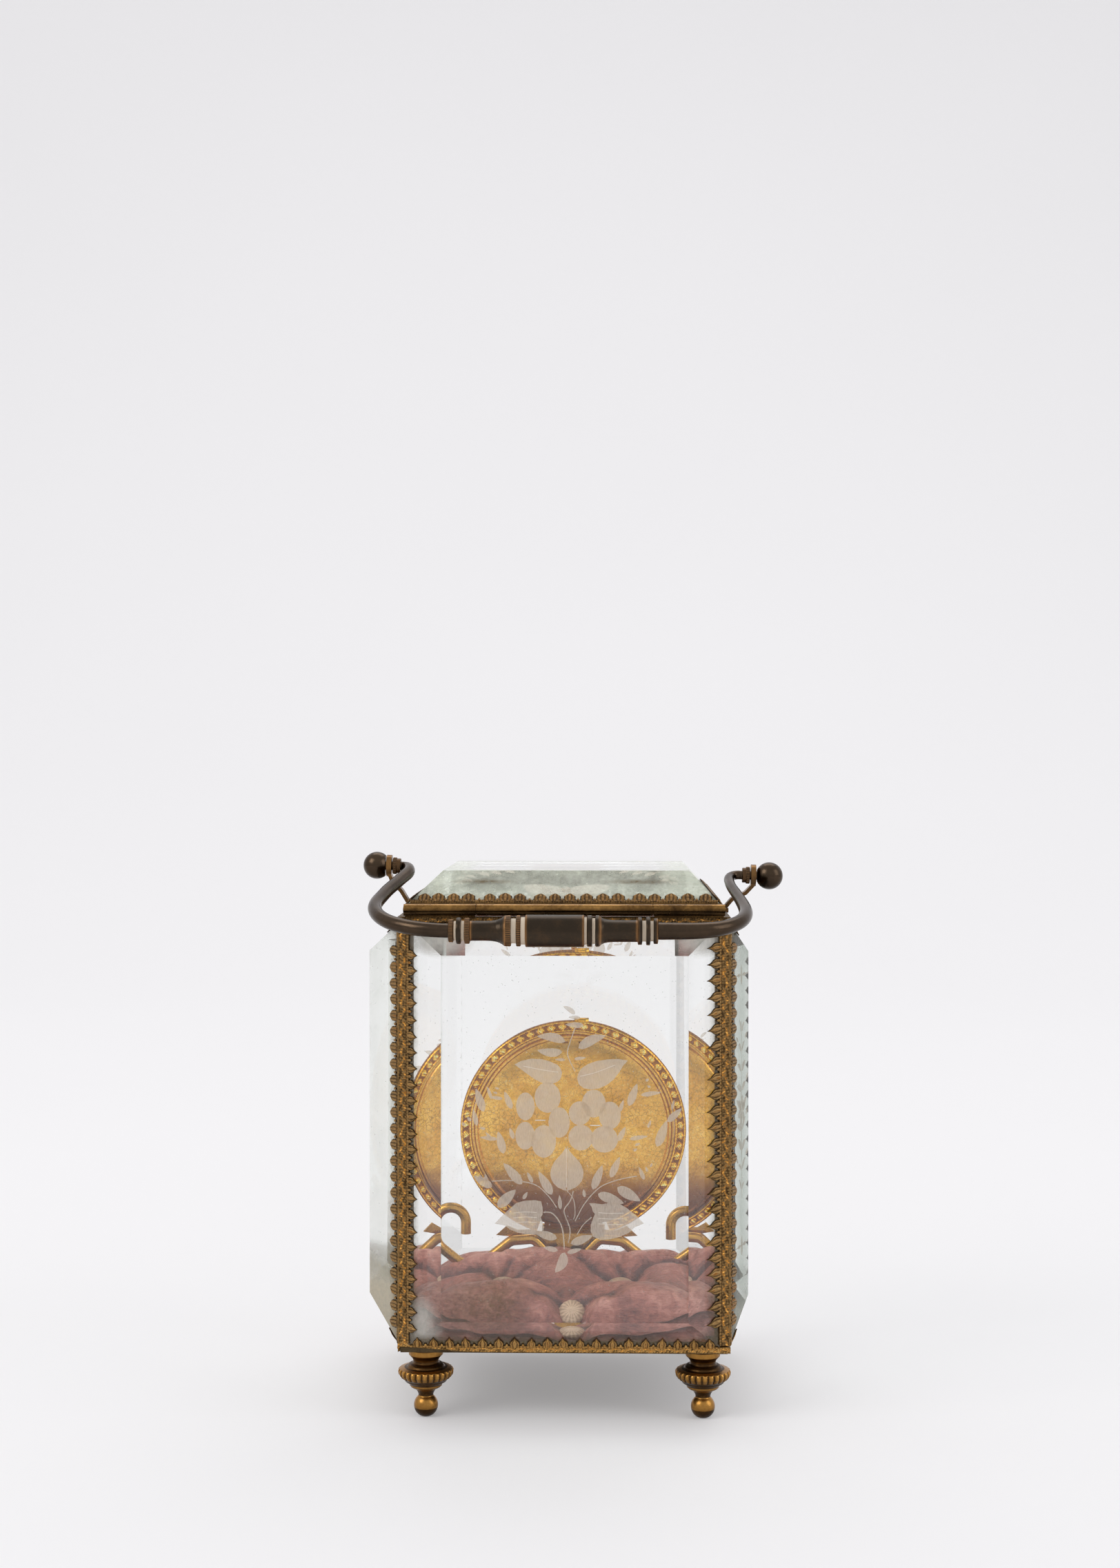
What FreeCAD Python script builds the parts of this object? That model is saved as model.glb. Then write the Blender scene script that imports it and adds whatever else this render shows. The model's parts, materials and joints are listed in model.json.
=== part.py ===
import FreeCAD, Part
import math, os
from FreeCAD import Vector as V

os.makedirs("parts", exist_ok=True)

# ---------------------------------------------------------------- driving dimensions (mm)
# Body frame while modelling: X to the right, Y away from the hinge side, Z up, Z = 0 on the surface it stands on,
# X = Y = 0 in the middle of the case. Every shape is moved by SHIFT at the end, so that the origin is the middle of the
# whole object's footprint, handle included.
SHIFT = V(-1.6, 4.0, 0.0)

HX, HY = 41.0, 37.2            # half width and half depth over the frame's bands
Z_PLATE0, Z_PLATE1 = 17.2, 18.4  # base plate
Z_GL0, Z_GL1 = 19.1, 123.0     # lower and upper edge of the wall glasses
Z_RAIL1 = 124.8                # top of the frame
POST = 2.6                     # corner post, square
GLASS_EDGE = 2.5               # glass thickness at its edge
FIT = 0.1                      # clearance round each glass
LEAF_T = 0.3                   # thickness of the toothed leaves
TOOTH_PITCH = 4.0

BACK_PROUD, FRONT_PROUD = 7.0, 7.0   # how far each glass's flat stands proud of the bands
LEFT_PROUD, RIGHT_PROUD = 8.0, 5.0

HINGE_Y, HINGE_Z = -38.45, 126.65
HINGE_R, HINGE_BORE, PIN_R = 1.45, 0.65, 0.60
HINGE_X = (-39.25, -21.55, -21.40, 21.80, 21.95, 39.50)

LID_HX, LID_HY = 39.0, 36.6
LID_Z0, LID_ZW, LID_TOP = 125.5, 128.15, 135.8

PIV_L = V(-49.89, 0.0, 135.81)  # ball centres, on the handle's axis
PIV_R = V(53.12, 0.0, 133.13)
BALL_R = 3.57
NECK_R, EYE_BORE = 1.15, 1.22
GRIP_Y, GRIP_Z = -48.3, 122.26

FOOT_X, FOOT_Y = 34.5, 30.8
DISC_C = V(1.8, -1.0, 67.05)
DISC_LEAN = 9.0
DISC_R = 29.45
STAND_Y = 3.4


# ---------------------------------------------------------------- helpers
def box(x0, y0, z0, x1, y1, z1):
    return Part.makeBox(x1 - x0, y1 - y0, z1 - z0, V(x0, y0, z0))


def prism(pts, vec):
    return Part.Face(Part.makePolygon(list(pts) + [pts[0]])).extrude(vec)


def fuse(shapes):
    s = shapes[0]
    if len(shapes) > 1:
        s = s.multiFuse(shapes[1:])
    s = s.removeSplitter()
    return s


def revolve_z(profile, cx, cy):
    """Profile of (r, z) pairs, closed on the axis, about a vertical axis."""
    pts = [V(r, 0, z) for r, z in profile]
    pts = [V(0, 0, profile[0][1])] + pts + [V(0, 0, profile[-1][1])]
    clean = [pts[0]]
    for p in pts[1:]:
        if p.sub(clean[-1]).Length > 1e-6:
            clean.append(p)
    s = Part.Face(Part.makePolygon(clean + [clean[0]])).revolve(V(0, 0, 0), V(0, 0, 1), 360)
    s.translate(V(cx, cy, 0))
    return s


def slab(O, U, W, N, outer, flat, edge, total):
    """A bevelled glass: outer and flat are (u0, u1, w0, w1); edge and total are thicknesses along N from O."""
    def q(u, w, n):
        return O + U * u + W * w + N * n
    a = [(outer[0], outer[2]), (outer[1], outer[2]), (outer[1], outer[3]), (outer[0], outer[3])]
    f = [(flat[0], flat[2]), (flat[1], flat[2]), (flat[1], flat[3]), (flat[0], flat[3])]
    b0 = [q(u, w, 0) for u, w in a]
    b1 = [q(u, w, edge) for u, w in a]
    b2 = [q(u, w, total) for u, w in f]
    faces = [Part.Face(Part.makePolygon(b0 + [b0[0]])), Part.Face(Part.makePolygon(b2 + [b2[0]]))]
    for i in range(4):
        j = (i + 1) % 4
        faces.append(Part.Face(Part.makePolygon([b0[i], b0[j], b1[j], b1[i], b0[i]])))
        faces.append(Part.Face(Part.makePolygon([b1[i], b1[j], b2[j], b2[i], b1[i]])))
    s = Part.Solid(Part.Shell(faces))
    if s.Volume < 0:
        s.reverse()
    return s


# A stamped palmette: a ribbed shell with a raised middle point, as (s, t) half outline.
PALMETTE = [(-1.30, 0.0), (-1.38, 0.55), (-1.05, 1.20), (-0.62, 1.45), (-0.34, 1.72), (0.0, 2.50),
            (0.34, 1.72), (0.62, 1.45), (1.05, 1.20), (1.38, 0.55), (1.30, 0.0)]
SHELL = [(-0.80, 0.0), (-1.22, 0.62), (-1.28, 1.20), (-0.86, 1.78), (-0.36, 2.12), (0.0, 2.22),
         (0.36, 2.12), (0.86, 1.78), (1.28, 1.20), (1.22, 0.62), (0.80, 0.0)]


def above(shape, edge):
    """The part of a tooth's outline that stands above the edging."""
    out = []
    for i, (s, t) in enumerate(shape):
        if i:
            ps, pt = shape[i - 1]
            if (pt - edge) * (t - edge) < 0:
                k = (edge - pt) / (t - pt)
                out.append((ps + (s - ps) * k, edge))
        if t > edge:
            out.append((s, t))
    return out


def toothed_leaf(O, S, T, N, s0, s1, teeth, shape, base=0.6, off=0.05, thick=LEAF_T, edge=0.32):
    """One stamped leaf lying on a bevel: a low edging with a row of teeth, one closed outline."""
    pts = [(s0, -base), (s1, -base), (s1, edge)]
    for c in sorted(teeth, reverse=True):
        for s, t in reversed(above(shape, edge)):
            pts.append((c + s, t))
    pts.append((s0, edge))
    out = []
    for p in pts:
        if not out or math.hypot(p[0] - out[-1][0], p[1] - out[-1][1]) > 1e-4:
            out.append(p)
    P = [O + S * s + T * t + N * off for s, t in out]
    return prism(P, N * thick)


def centred(s0, s1, pitch, half=1.4):
    n = int((s1 - s0 - 2 * half) // pitch)
    m = (s0 + s1) / 2
    return [m + (i - n / 2) * pitch for i in range(n + 1)]


def tube_path(pts, radii):
    """Straight runs joined by tangent arcs, as one wire."""
    edges, last = [], pts[0]
    for i in range(1, len(pts) - 1):
        a, b, c = pts[i - 1], pts[i], pts[i + 1]
        u, w = a.sub(b).normalize(), c.sub(b).normalize()
        turn = math.pi - math.acos(max(-1, min(1, u.dot(w))))
        d = radii[i - 1] * math.tan(turn / 2)
        p, q = b + u * d, b + w * d
        bis = (u + w).normalize()
        centre = b + bis * (radii[i - 1] / math.cos(turn / 2))
        mid = centre - bis * radii[i - 1]
        if p.sub(last).Length > 1e-6:
            edges.append(Part.LineSegment(last, p).toShape())
        edges.append(Part.Arc(p, mid, q).toShape())
        last = q
    if pts[-1].sub(last).Length > 1e-6:
        edges.append(Part.LineSegment(last, pts[-1]).toShape())
    return Part.Wire(edges)


def pipe(wire, start, direction, r):
    c = Part.Wire([Part.makeCircle(r, start, direction)])
    s = wire.makePipeShell([c], True, True)
    return s


NODES = {}


def put(name, shape):
    s = shape.copy()
    s.translate(SHIFT)
    NODES[name] = s


X, Y, Z = V(1, 0, 0), V(0, 1, 0), V(0, 0, 1)

# ---------------------------------------------------------------- wall glasses
GIN_Y = HY - GLASS_EDGE       # inner face of the back and front glass
GIN_X = HX - 2.3              # inner face of the side glasses
BG_X = HX - POST - FIT        # half width of the back and front glass
SG_Y = HY - POST - FIT        # half depth of the side glasses
BACK_FLAT = (-29.7, 30.4, 26.7, 115.9)
put("glass_back", slab(V(0, -GIN_Y, 0), X, Z, -Y, (-BG_X, BG_X, Z_GL0, Z_GL1), BACK_FLAT,
                       GLASS_EDGE, GLASS_EDGE + BACK_PROUD))
put("glass_front", slab(V(0, GIN_Y, 0), X, Z, Y, (-BG_X, BG_X, Z_GL0, Z_GL1), (-30.0, 30.0, 26.7, 115.9),
                        GLASS_EDGE, GLASS_EDGE + FRONT_PROUD))
put("glass_left", slab(V(-GIN_X, 0, 0), Y, Z, -X, (-SG_Y, SG_Y, Z_GL0, Z_GL1), (-26.5, 26.5, 29.6, 115.7),
                       2.3, 2.3 + LEFT_PROUD))
put("glass_right", slab(V(GIN_X, 0, 0), Y, Z, X, (-SG_Y, SG_Y, Z_GL0, Z_GL1), (-26.5, 26.5, 29.6, 115.6),
                        2.3, 2.3 + RIGHT_PROUD))


def bevel(run, rise):
    n = math.hypot(run, rise)
    return run / n, rise / n


# ---------------------------------------------------------------- corner posts with their toothed leaves
def post(sx, sy, proud_y, flat_x, proud_x, shape_y, shape_x, ph_y, ph_x):
    """sx, sy: which corner. The leaf on the back or front glass, and the leaf on the side glass."""
    z0, z1 = Z_GL0 + 0.25, Z_GL1 + 0.05
    x0, x1 = sorted((sx * (HX - POST), sx * HX))
    y0, y1 = sorted((sy * (HY - POST), sy * HY))
    bar = box(x0, y0, z0, x1, y1, z1)
    parts = [bar]
    # inner lips that hold the glasses from within
    xa, xb = sorted((sx * 36.0, sx * 38.6))
    ya, yb = sorted((sy * 34.3, sy * 34.6))
    parts.append(box(xa, ya, z0, xb, yb, z1))
    xa, xb = sorted((sx * 38.3, sx * 38.6))
    ya, yb = sorted((sy * 32.0, sy * 34.6))
    parts.append(box(xa, ya, z0, xb, yb, z1))
    body = fuse(parts)
    # leaf on the back or front glass
    run, rise = bevel(BG_X - abs(flat_x), proud_y)
    T = V(-sx * run, sy * rise, 0)
    N = V(sx * rise, sy * run, 0)
    teeth = [z for z in [ph_y + k * TOOTH_PITCH for k in range(-60, 60)] if Z_GL0 + 4.2 < z < Z_GL1 - 3.6]
    leaf1 = toothed_leaf(V(sx * BG_X, sy * HY, 0), Z, T, N, z0 + 0.6, z1 - 0.6, teeth, shape_y, base=0.55)
    # leaf on the side glass
    run, rise = bevel(SG_Y - 26.5, proud_x)
    T = V(sx * rise, -sy * run, 0)
    N = V(sx * run, sy * rise, 0)
    teeth = [z for z in [ph_x + k * TOOTH_PITCH for k in range(-60, 60)] if Z_GL0 + 4.2 < z < Z_GL1 - 3.6]
    leaf2 = toothed_leaf(V(sx * HX, sy * SG_Y, 0), Z, T, N, z0 + 0.6, z1 - 0.6, teeth, shape_x, base=0.55)
    return fuse([body, leaf1, leaf2])


put("corner_post_back_left", post(-1, -1, BACK_PROUD, -29.7, LEFT_PROUD, PALMETTE, SHELL, 115.6, 116.1))
put("corner_post_back_right", post(1, -1, BACK_PROUD, 30.4, RIGHT_PROUD, PALMETTE, SHELL, 97.6, 96.9))
put("corner_post_front_left", post(-1, 1, FRONT_PROUD, -30.0, LEFT_PROUD, SHELL, PALMETTE, 70.0, 71.0))
put("corner_post_front_right", post(1, 1, FRONT_PROUD, 30.0, RIGHT_PROUD, SHELL, PALMETTE, 70.6, 69.4))


# ---------------------------------------------------------------- frame rails (mitred)
def trapezoid(side, out_h, width, other_h, z0, z1):
    """Mitred bar: side is 'back', 'front', 'left' or 'right'."""
    i = out_h - width
    oi = other_h - width
    if side in ("back", "front"):
        s = -1 if side == "back" else 1
        pts = [V(-other_h, s * out_h, z0), V(other_h, s * out_h, z0), V(oi, s * i, z0), V(-oi, s * i, z0)]
    else:
        s = -1 if side == "left" else 1
        pts = [V(s * out_h, -other_h, z0), V(s * out_h, other_h, z0), V(s * i, oi, z0), V(s * i, -oi, z0)]
    return prism(pts, V(0, 0, z1 - z0))


def side_frame(side):
    """Origin on the band's face, S along the side, D outward."""
    return {"back": (V(0, -HY, 0), X, -Y, HX), "front": (V(0, HY, 0), X, Y, HX),
            "left": (V(-HX, 0, 0), Y, -X, HY), "right": (V(HX, 0, 0), Y, X, HY)}[side]


PROUD = {"back": BACK_PROUD, "front": FRONT_PROUD, "left": LEFT_PROUD, "right": RIGHT_PROUD}
FLAT_Z = {"back": (26.7, 115.9), "front": (26.7, 115.9), "left": (29.6, 115.7), "right": (29.6, 115.6)}
EYE_HOLES = {"left": -1, "right": 1}

for side in ("back", "front", "left", "right"):
    O, S, D, half = side_frame(side)
    along = HX if side in ("back", "front") else HY
    across = HY if side in ("back", "front") else HX
    glass_half = BG_X if side in ("back", "front") else SG_Y
    lip_in = GIN_Y if side in ("back", "front") else GIN_X
    # bottom rail: outer lip over the plate's edge, ledge under the glass, inner lip, toothed leaf
    parts = [trapezoid(side, across, 0.6, along, 17.5, Z_PLATE1 + 0.05),
             trapezoid(side, across, 3.2, along, Z_PLATE1 + 0.05, Z_GL0 - 0.1)]
    c = -D * (across - (lip_in - 0.25))
    P = O + c
    lip = prism([P + S * -(glass_half - 3.0) + Z * (Z_GL0 - 0.1), P + S * (glass_half - 3.0) + Z * (Z_GL0 - 0.1),
                 P + S * (glass_half - 3.0) + Z * (Z_GL0 + 2.4), P + S * -(glass_half - 3.0) + Z * (Z_GL0 + 2.4)], D * 0.2)
    parts.append(lip)
    run, rise = bevel(FLAT_Z[side][0] - Z_GL0, PROUD[side])
    T = Z * run + D * rise
    N = D * run - Z * rise
    pitch = TOOTH_PITCH
    teeth = centred(-glass_half + 0.4, glass_half - 0.4, pitch)
    parts.append(toothed_leaf(O + Z * Z_GL0, S, T, N, -glass_half + 0.3, glass_half - 0.3, teeth, PALMETTE, base=0.5))
    put("bottom_rail_" + side, fuse(parts))
    # top rail
    parts = [trapezoid(side, across, 3.2, along, Z_GL1 + 0.1, Z_RAIL1)]
    lip = prism([P + S * -(glass_half - 3.0) + Z * (Z_GL1 - 2.3), P + S * (glass_half - 3.0) + Z * (Z_GL1 - 2.3),
                 P + S * (glass_half - 3.0) + Z * (Z_GL1 + 0.1), P + S * -(glass_half - 3.0) + Z * (Z_GL1 + 0.1)], D * 0.2)
    parts.append(lip)
    run, rise = bevel(Z_GL1 - FLAT_Z[side][1], PROUD[side])
    T = -Z * run + D * rise
    N = D * run + Z * rise
    parts.append(toothed_leaf(O + Z * Z_GL1, S, T, N, -glass_half + 0.3, glass_half - 0.3, teeth, PALMETTE, base=0.5))
    rail = fuse(parts)
    if side in EYE_HOLES:
        s = EYE_HOLES[side]
        for y in (-2.9, 2.9):
            rail = rail.cut(Part.makeCylinder(0.5, 2.2, V(s * (HX + 0.2), y, 124.29), V(-s, 0, 0)))
    put("top_rail_" + side, rail)

# ---------------------------------------------------------------- base plate, feet and nuts
plate = box(-(HX - 0.65), -(HY - 0.65), Z_PLATE0, HX - 0.65, HY - 0.65, Z_PLATE1)
for sx in (-1, 1):
    for sy in (-1, 1):
        plate = plate.cut(Part.makeCylinder(1.05, 4, V(sx * FOOT_X, sy * FOOT_Y, 16)))
plate = plate.cut(Part.makeCylinder(1.30, 4, V(0.0, STAND_Y, 16)))
put("base_plate", plate)

FOOT = [(1.30, 0.0)]
for a in range(-56, 64, 8):
    FOOT.append((3.0 * math.cos(math.radians(a)), 2.7 + 3.0 * math.sin(math.radians(a))))
FOOT = [(1.30, 0.0)] + [p for p in FOOT[1:] if p[1] > 0.02 and p[1] < 5.1]
FOOT += [(1.85, 5.25), (1.95, 5.75), (2.35, 6.45), (2.75, 6.95), (3.55, 7.15), (4.05, 7.6), (4.1, 8.1), (4.6, 8.45),
         (5.2, 8.75), (5.35, 9.15), (6.3, 9.8), (6.85, 10.6), (6.95, 11.4), (6.7, 11.9), (5.6, 12.15), (4.7, 12.3),
         (4.5, 12.75), (4.15, 13.05), (3.35, 13.25), (3.15, 13.7), (3.3, 14.3), (3.8, 14.9), (4.3, 15.4),
         (4.35, 17.2), (1.0, 17.2), (1.0, 19.0)]
for ynm, sy in (("back", -1), ("front", 1)):
    for xnm, sx in (("left", -1), ("right", 1)):
        put("foot_%s_%s" % (ynm, xnm), revolve_z(FOOT, sx * FOOT_X, sy * FOOT_Y))
nuts = []
for sx in (-1, 1):
    for sy in (-1, 1):
        n = box(-1.7, -1.7, Z_PLATE1 + 0.02, 1.7, 1.7, Z_PLATE1 + 0.92)
        n = n.cut(Part.makeCylinder(1.02, 4, V(0, 0, Z_PLATE1 - 1)))
        n.rotate(V(0, 0, 0), Z, 17 * sx + 9 * sy)
        n.translate(V(sx * FOOT_X, sy * FOOT_Y, 0))
        nuts.append(n)
put("foot_nuts", Part.makeCompound(nuts))


# ---------------------------------------------------------------- cushion, board and buttons
def rounded_wire(hx, hy, r, z):
    e = []
    cs = [(hx - r, hy - r, 0), (-(hx - r), hy - r, 90), (-(hx - r), -(hy - r), 180), (hx - r, -(hy - r), 270)]
    arcs = []
    for cx, cy, a in cs:
        pa, pm, pb = (V(cx + r * math.cos(math.radians(a + d)), cy + r * math.sin(math.radians(a + d)), z)
                      for d in (0, 45, 90))
        arcs.append((pa, pm, pb))
    for i in range(4):
        pa, pm, pb = arcs[i]
        e.append(Part.Arc(pa, pm, pb).toShape())
        e.append(Part.LineSegment(pb, arcs[(i + 1) % 4][0]).toShape())
    return Part.Wire(e)


board = Part.Face(rounded_wire(37.2, 33.2, 2.0, 19.45)).extrude(V(0, 0, 1.2))
board = board.cut(Part.makeCylinder(1.30, 4, V(0.0, STAND_Y, 18)))
put("cushion_board", board)

# buttons: x, y and z of the seat, lean towards the hinge side in degrees
BUTTONS = [(-16.0, -9.5, 27.7, 8.0), (14.1, -9.5, 27.7, 8.0), (1.9, -28.6, 25.6, 50.0), (2.0, 19.5, 24.8, -20.0)]
wires = [rounded_wire(36.6, 32.9, 4.0, 20.7), rounded_wire(37.5, 33.7, 5.0, 24.0), rounded_wire(37.3, 33.5, 6.0, 27.0),
         rounded_wire(35.6, 31.8, 8.0, 30.0), rounded_wire(31.0, 27.2, 10.0, 32.6), rounded_wire(22.5, 19.0, 10.0, 34.2)]
cushion = Part.makeLoft(wires, True, True)
for bx, by, bz, tilt in BUTTONS:
    out = V(0, -math.sin(math.radians(tilt)), math.cos(math.radians(tilt)))
    cushion = cushion.cut(Part.makeCone(3.7, 7.0, 12.0, V(bx, by, bz), out))
# room for the stand: the stem's stud, the scroll legs' lowest bends
cushion = cushion.cut(Part.makeCylinder(1.6, 20, V(0.0, STAND_Y, 19)))
cushion = cushion.cut(box(-34.5, STAND_Y - 2.2, 29.0, 34.5, STAND_Y + 2.2, 40))
put("cushion", cushion)

buttons = []
for bx, by, bz, tilt in BUTTONS:
    z = bz + 0.25
    prof = [(2.9, z), (3.15, z + 0.5), (3.0, z + 1.1), (2.2, z + 1.75), (1.0, z + 2.1), (0.0, z + 2.15)]
    button = revolve_z(prof, bx, by)
    button.rotate(V(bx, by, bz), X, tilt)
    buttons.append(button)
put("cushion_buttons", Part.makeCompound(buttons))


# ---------------------------------------------------------------- watch plate and its stand
def lean(s):
    """From the plate's own frame (its plane is XZ, its middle at the origin, the watch on its +Y side)."""
    s = s.copy()
    s.rotate(V(0, 0, 0), X, DISC_LEAN)
    s.translate(DISC_C)
    return s


def ring_y(profile):
    """Profile of (r, y) pairs as a closed outline, revolved about the Y axis."""
    pts = [V(r, y, 0) for r, y in profile]
    return Part.Face(Part.makePolygon(pts + [pts[0]])).revolve(V(0, 0, 0), Y, 360)


disc = ring_y([(0, -0.35), (24.6, -0.35), (25.0, -0.95), (25.5, -0.95), (25.9, -0.35), (26.42, -0.35),
               (26.42, 0.35), (25.9, 0.35), (25.5, 0.9), (25.0, 0.9), (24.6, 0.35), (0, 0.35)])
disc = disc.fuse(box(-7.6, -0.35, -26.9, 7.6, 0.35, -20.0)).removeSplitter()
slots = [(-1.95, 24.9), (2.2, 24.9)]
for sx, sz in slots:
    disc = disc.cut(box(sx - 0.75, -2, sz - 1.5, sx + 0.75, 2, sz - 0.9))
put("watch_plate", lean(disc))
rim = ring_y([(26.46, -0.8), (27.0, -1.15), (29.0, -1.15), (DISC_R, -0.7), (DISC_R, 0.7), (29.0, 1.15), (27.0, 1.15),
              (26.46, 0.8)])
rim = rim.cut(box(-9.2, -3, -32, 9.2, 3, -20))
tab = box(0.4, -0.5, 28.4, 4.1, 0.5, DISC_R + 0.55)
rim = rim.fuse(tab).removeSplitter()
put("plate_rim", lean(rim))

# the hook: a strip on the watch side carries a pin that stands out and turns up
hook = [box(-3.4, 0.36, 22.2, 3.6, 0.85, 24.4)]
wire = tube_path([V(0.1, 0.6, 23.3), V(0.1, 4.6, 23.3), V(0.1, 5.6, 26.0)], [1.0])
hook.append(pipe(wire, V(0.1, 0.6, 23.3), Y, 0.75))
put("watch_hook", lean(fuse(hook)))

# foot bar under the plate's flat lowest edge, a channel that grips it
bar = box(-8.2, -1.6, -27.85, 8.2, 1.6, -26.35).cut(box(-9, -0.45, -26.93, 9, 0.45, -26.0))
put("plate_clip", lean(bar))

# stem: a flared block under the foot bar, on a stud that runs down through the cushion and the base
top_z = 39.25
stem_pts = [V(-3.8, STAND_Y - 1.1, top_z), V(5.0, STAND_Y - 1.1, top_z), V(2.9, STAND_Y - 1.1, 37.0),
            V(1.15, STAND_Y - 1.1, 35.6), V(1.05, STAND_Y - 1.1, 29.4), V(-1.95, STAND_Y - 1.1, 29.4),
            V(-2.2, STAND_Y - 1.1, 35.6), V(-2.9, STAND_Y - 1.1, 37.4)]
stem = prism(stem_pts, V(0, 2.44, 0))
stud = Part.makeCylinder(1.2, 29.6 - 15.4, V(0.0, STAND_Y, 15.4))
stem = stem.fuse(stud).removeSplitter()
put("stand_stem", stem)
nut = Part.makeCylinder(2.6, 1.2, V(0.0, STAND_Y, 15.9)).cut(Part.makeCylinder(1.22, 4, V(0, STAND_Y, 14)))
put("stand_nut", nut)

# leaf cross piece: a flat pair of acanthus leaves behind the stem
lp = [(0.0, 37.6), (5.0, 38.6), (9.5, 39.6), (13.0, 39.4), (15.8, 40.6), (18.6, 38.1), (15.2, 37.8), (12.4, 37.3),
      (9.6, 36.6), (5.6, 35.4), (3.4, 34.3)]
pts = [V(x, 0, z) for x, z in lp] + [V(-x, 0, z) for x, z in reversed(lp[1:])]
leafp = prism([p + V(0, STAND_Y + 1.37, 0) for p in pts], V(0, 0.65, 0))
put("stand_leaf", leafp)


# scroll legs: an arch beside the stem, a low bend on the cushion and a crook at the end
def scroll(s, cx, cz_, r, end_z):
    a = []
    for ang in (-150, -105):
        pass
    P = lambda x, z: V(s * x, STAND_Y, z)
    pts = [P(5.2, 33.4), P(8.4, 37.4), P(14.4, 37.0), P(21.5, 31.2), P(27.6, 30.9), P(cx + r + 0.2, 37.2)]
    rad = [2.2, 3.2, 6.0, 5.0]
    wire1 = tube_path(pts, rad)
    # crook: arc about (cx, cz_)
    n0 = P(cx + r + 0.2, 37.2)
    return wire1


def crook(s, cx, cz_, r, tail):
    """Whole centre line of a scroll leg as straight runs and tangent arcs."""
    P = lambda x, z: V(s * x, STAND_Y, z)
    pts = [P(5.0, 33.6), P(8.6, 37.5), P(14.6, 37.0), P(21.8, 31.3), P(27.4, 30.6), P(cx + r * 1.02, 36.2),
           P(cx + r * 1.02, cz_ + r), P(cx - r, cz_ + r), P(cx - r, tail)]
    rad = [2.4, 3.4, 6.0, 4.2, 4.5, r * 0.98, r * 0.98]
    return tube_path(pts, rad), pts


for nm, s, cx, czz, tail in (("left", -1, 30.4, 41.7, 38.8), ("right", 1, 31.3, 41.1, 37.6)):
    w, pts = crook(s, cx, czz, 3.9, tail)
    d = pts[1].sub(pts[0])
    t = pipe(w, pts[0], d, 1.33)
    put("stand_scroll_" + nm, t)

# ---------------------------------------------------------------- hinge
def knuckle(x0, x1):
    k = Part.makeCylinder(HINGE_R, x1 - x0, V(x0, HINGE_Y, HINGE_Z), X)
    return k


BORE = Part.makeCylinder(HINGE_BORE, 100, V(-50, HINGE_Y, HINGE_Z), X)
x0, x1, x2, x3, x4, x5 = HINGE_X
for nm, a, b in (("left", x0, x1), ("right", x4, x5)):
    k = knuckle(a, b).fuse([box(a + 0.3, HINGE_Y, Z_RAIL1 + 0.02, b - 0.3, -35.6, 125.2),
                            box(a + 0.3, HINGE_Y - 0.3, Z_RAIL1 + 0.02, b - 0.3, -37.15, 125.9)])
    put("hinge_knuckle_" + nm, k.cut(BORE).removeSplitter())
k = knuckle(x2, x3).fuse(box(x2 + 0.3, -37.25, HINGE_Z - 0.6, x3 - 0.3, -LID_HY - 0.02, 128.0))
put("lid_knuckle", k.cut(BORE).removeSplitter())
put("hinge_pin", Part.makeCylinder(PIN_R, x5 - x0 + 0.3, V(x0 - 0.15, HINGE_Y, HINGE_Z), X))

# ---------------------------------------------------------------- lid
LG_X, LG_Y = LID_HX - 0.7, LID_HY - 0.7
LID_FLAT = (-30.4, 31.3, -27.1, 27.1)
put("lid_glass", slab(V(0, 0, LID_Z0 + 0.75), X, Y, Z, (-LG_X, LG_X, -LG_Y, LG_Y), LID_FLAT, LID_ZW + 0.05 - LID_Z0 - 0.75,
                      LID_TOP - LID_Z0 - 0.75))
LID_TEETH = {"back": [-34.6, -31.0, -27.3, -23.5, -18.3, -14.5, -10.9, -6.0, -2.3, 1.4, 5.6, 9.6, 13.4, 18.5, 22.3, 26.4, 30.6, 34.8]}
for side in ("back", "front", "left", "right"):
    across = LID_HY if side in ("back", "front") else LID_HX
    along = LID_HX if side in ("back", "front") else LID_HY
    S = X if side in ("back", "front") else Y
    D = {"back": -Y, "front": Y, "left": -X, "right": X}[side]
    gh = LG_X if side in ("back", "front") else LG_Y
    flat = {"back": 27.1, "front": 27.1, "left": 30.4, "right": 31.3}[side]
    ga = LG_Y if side in ("back", "front") else LG_X
    parts = [trapezoid(side, across, 3.0, along, LID_Z0, LID_Z0 + 0.7),
             trapezoid(side, across, 0.6, along, LID_Z0 + 0.7, LID_ZW)]
    run, rise = bevel(ga - flat, LID_TOP - LID_ZW - 0.05)
    T = -D * run + Z * rise
    N = Z * run + D * rise
    teeth = LID_TEETH.get(side) or centred(-gh + 0.6, gh - 0.6, 3.75)
    parts.append(toothed_leaf(D * ga + Z * (LID_ZW + 0.05), S, T, N, -gh + 0.4, gh - 0.4, teeth, SHELL, base=0.45, edge=0.9))
    rail = fuse(parts)
    if side == "front":
        for x in (-2.6, 1.6):
            rail = rail.cut(Part.makeCylinder(0.45, 2.0, V(x, across + 0.3, 127.2), -Y))
    put("lid_rail_" + side, rail)

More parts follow.
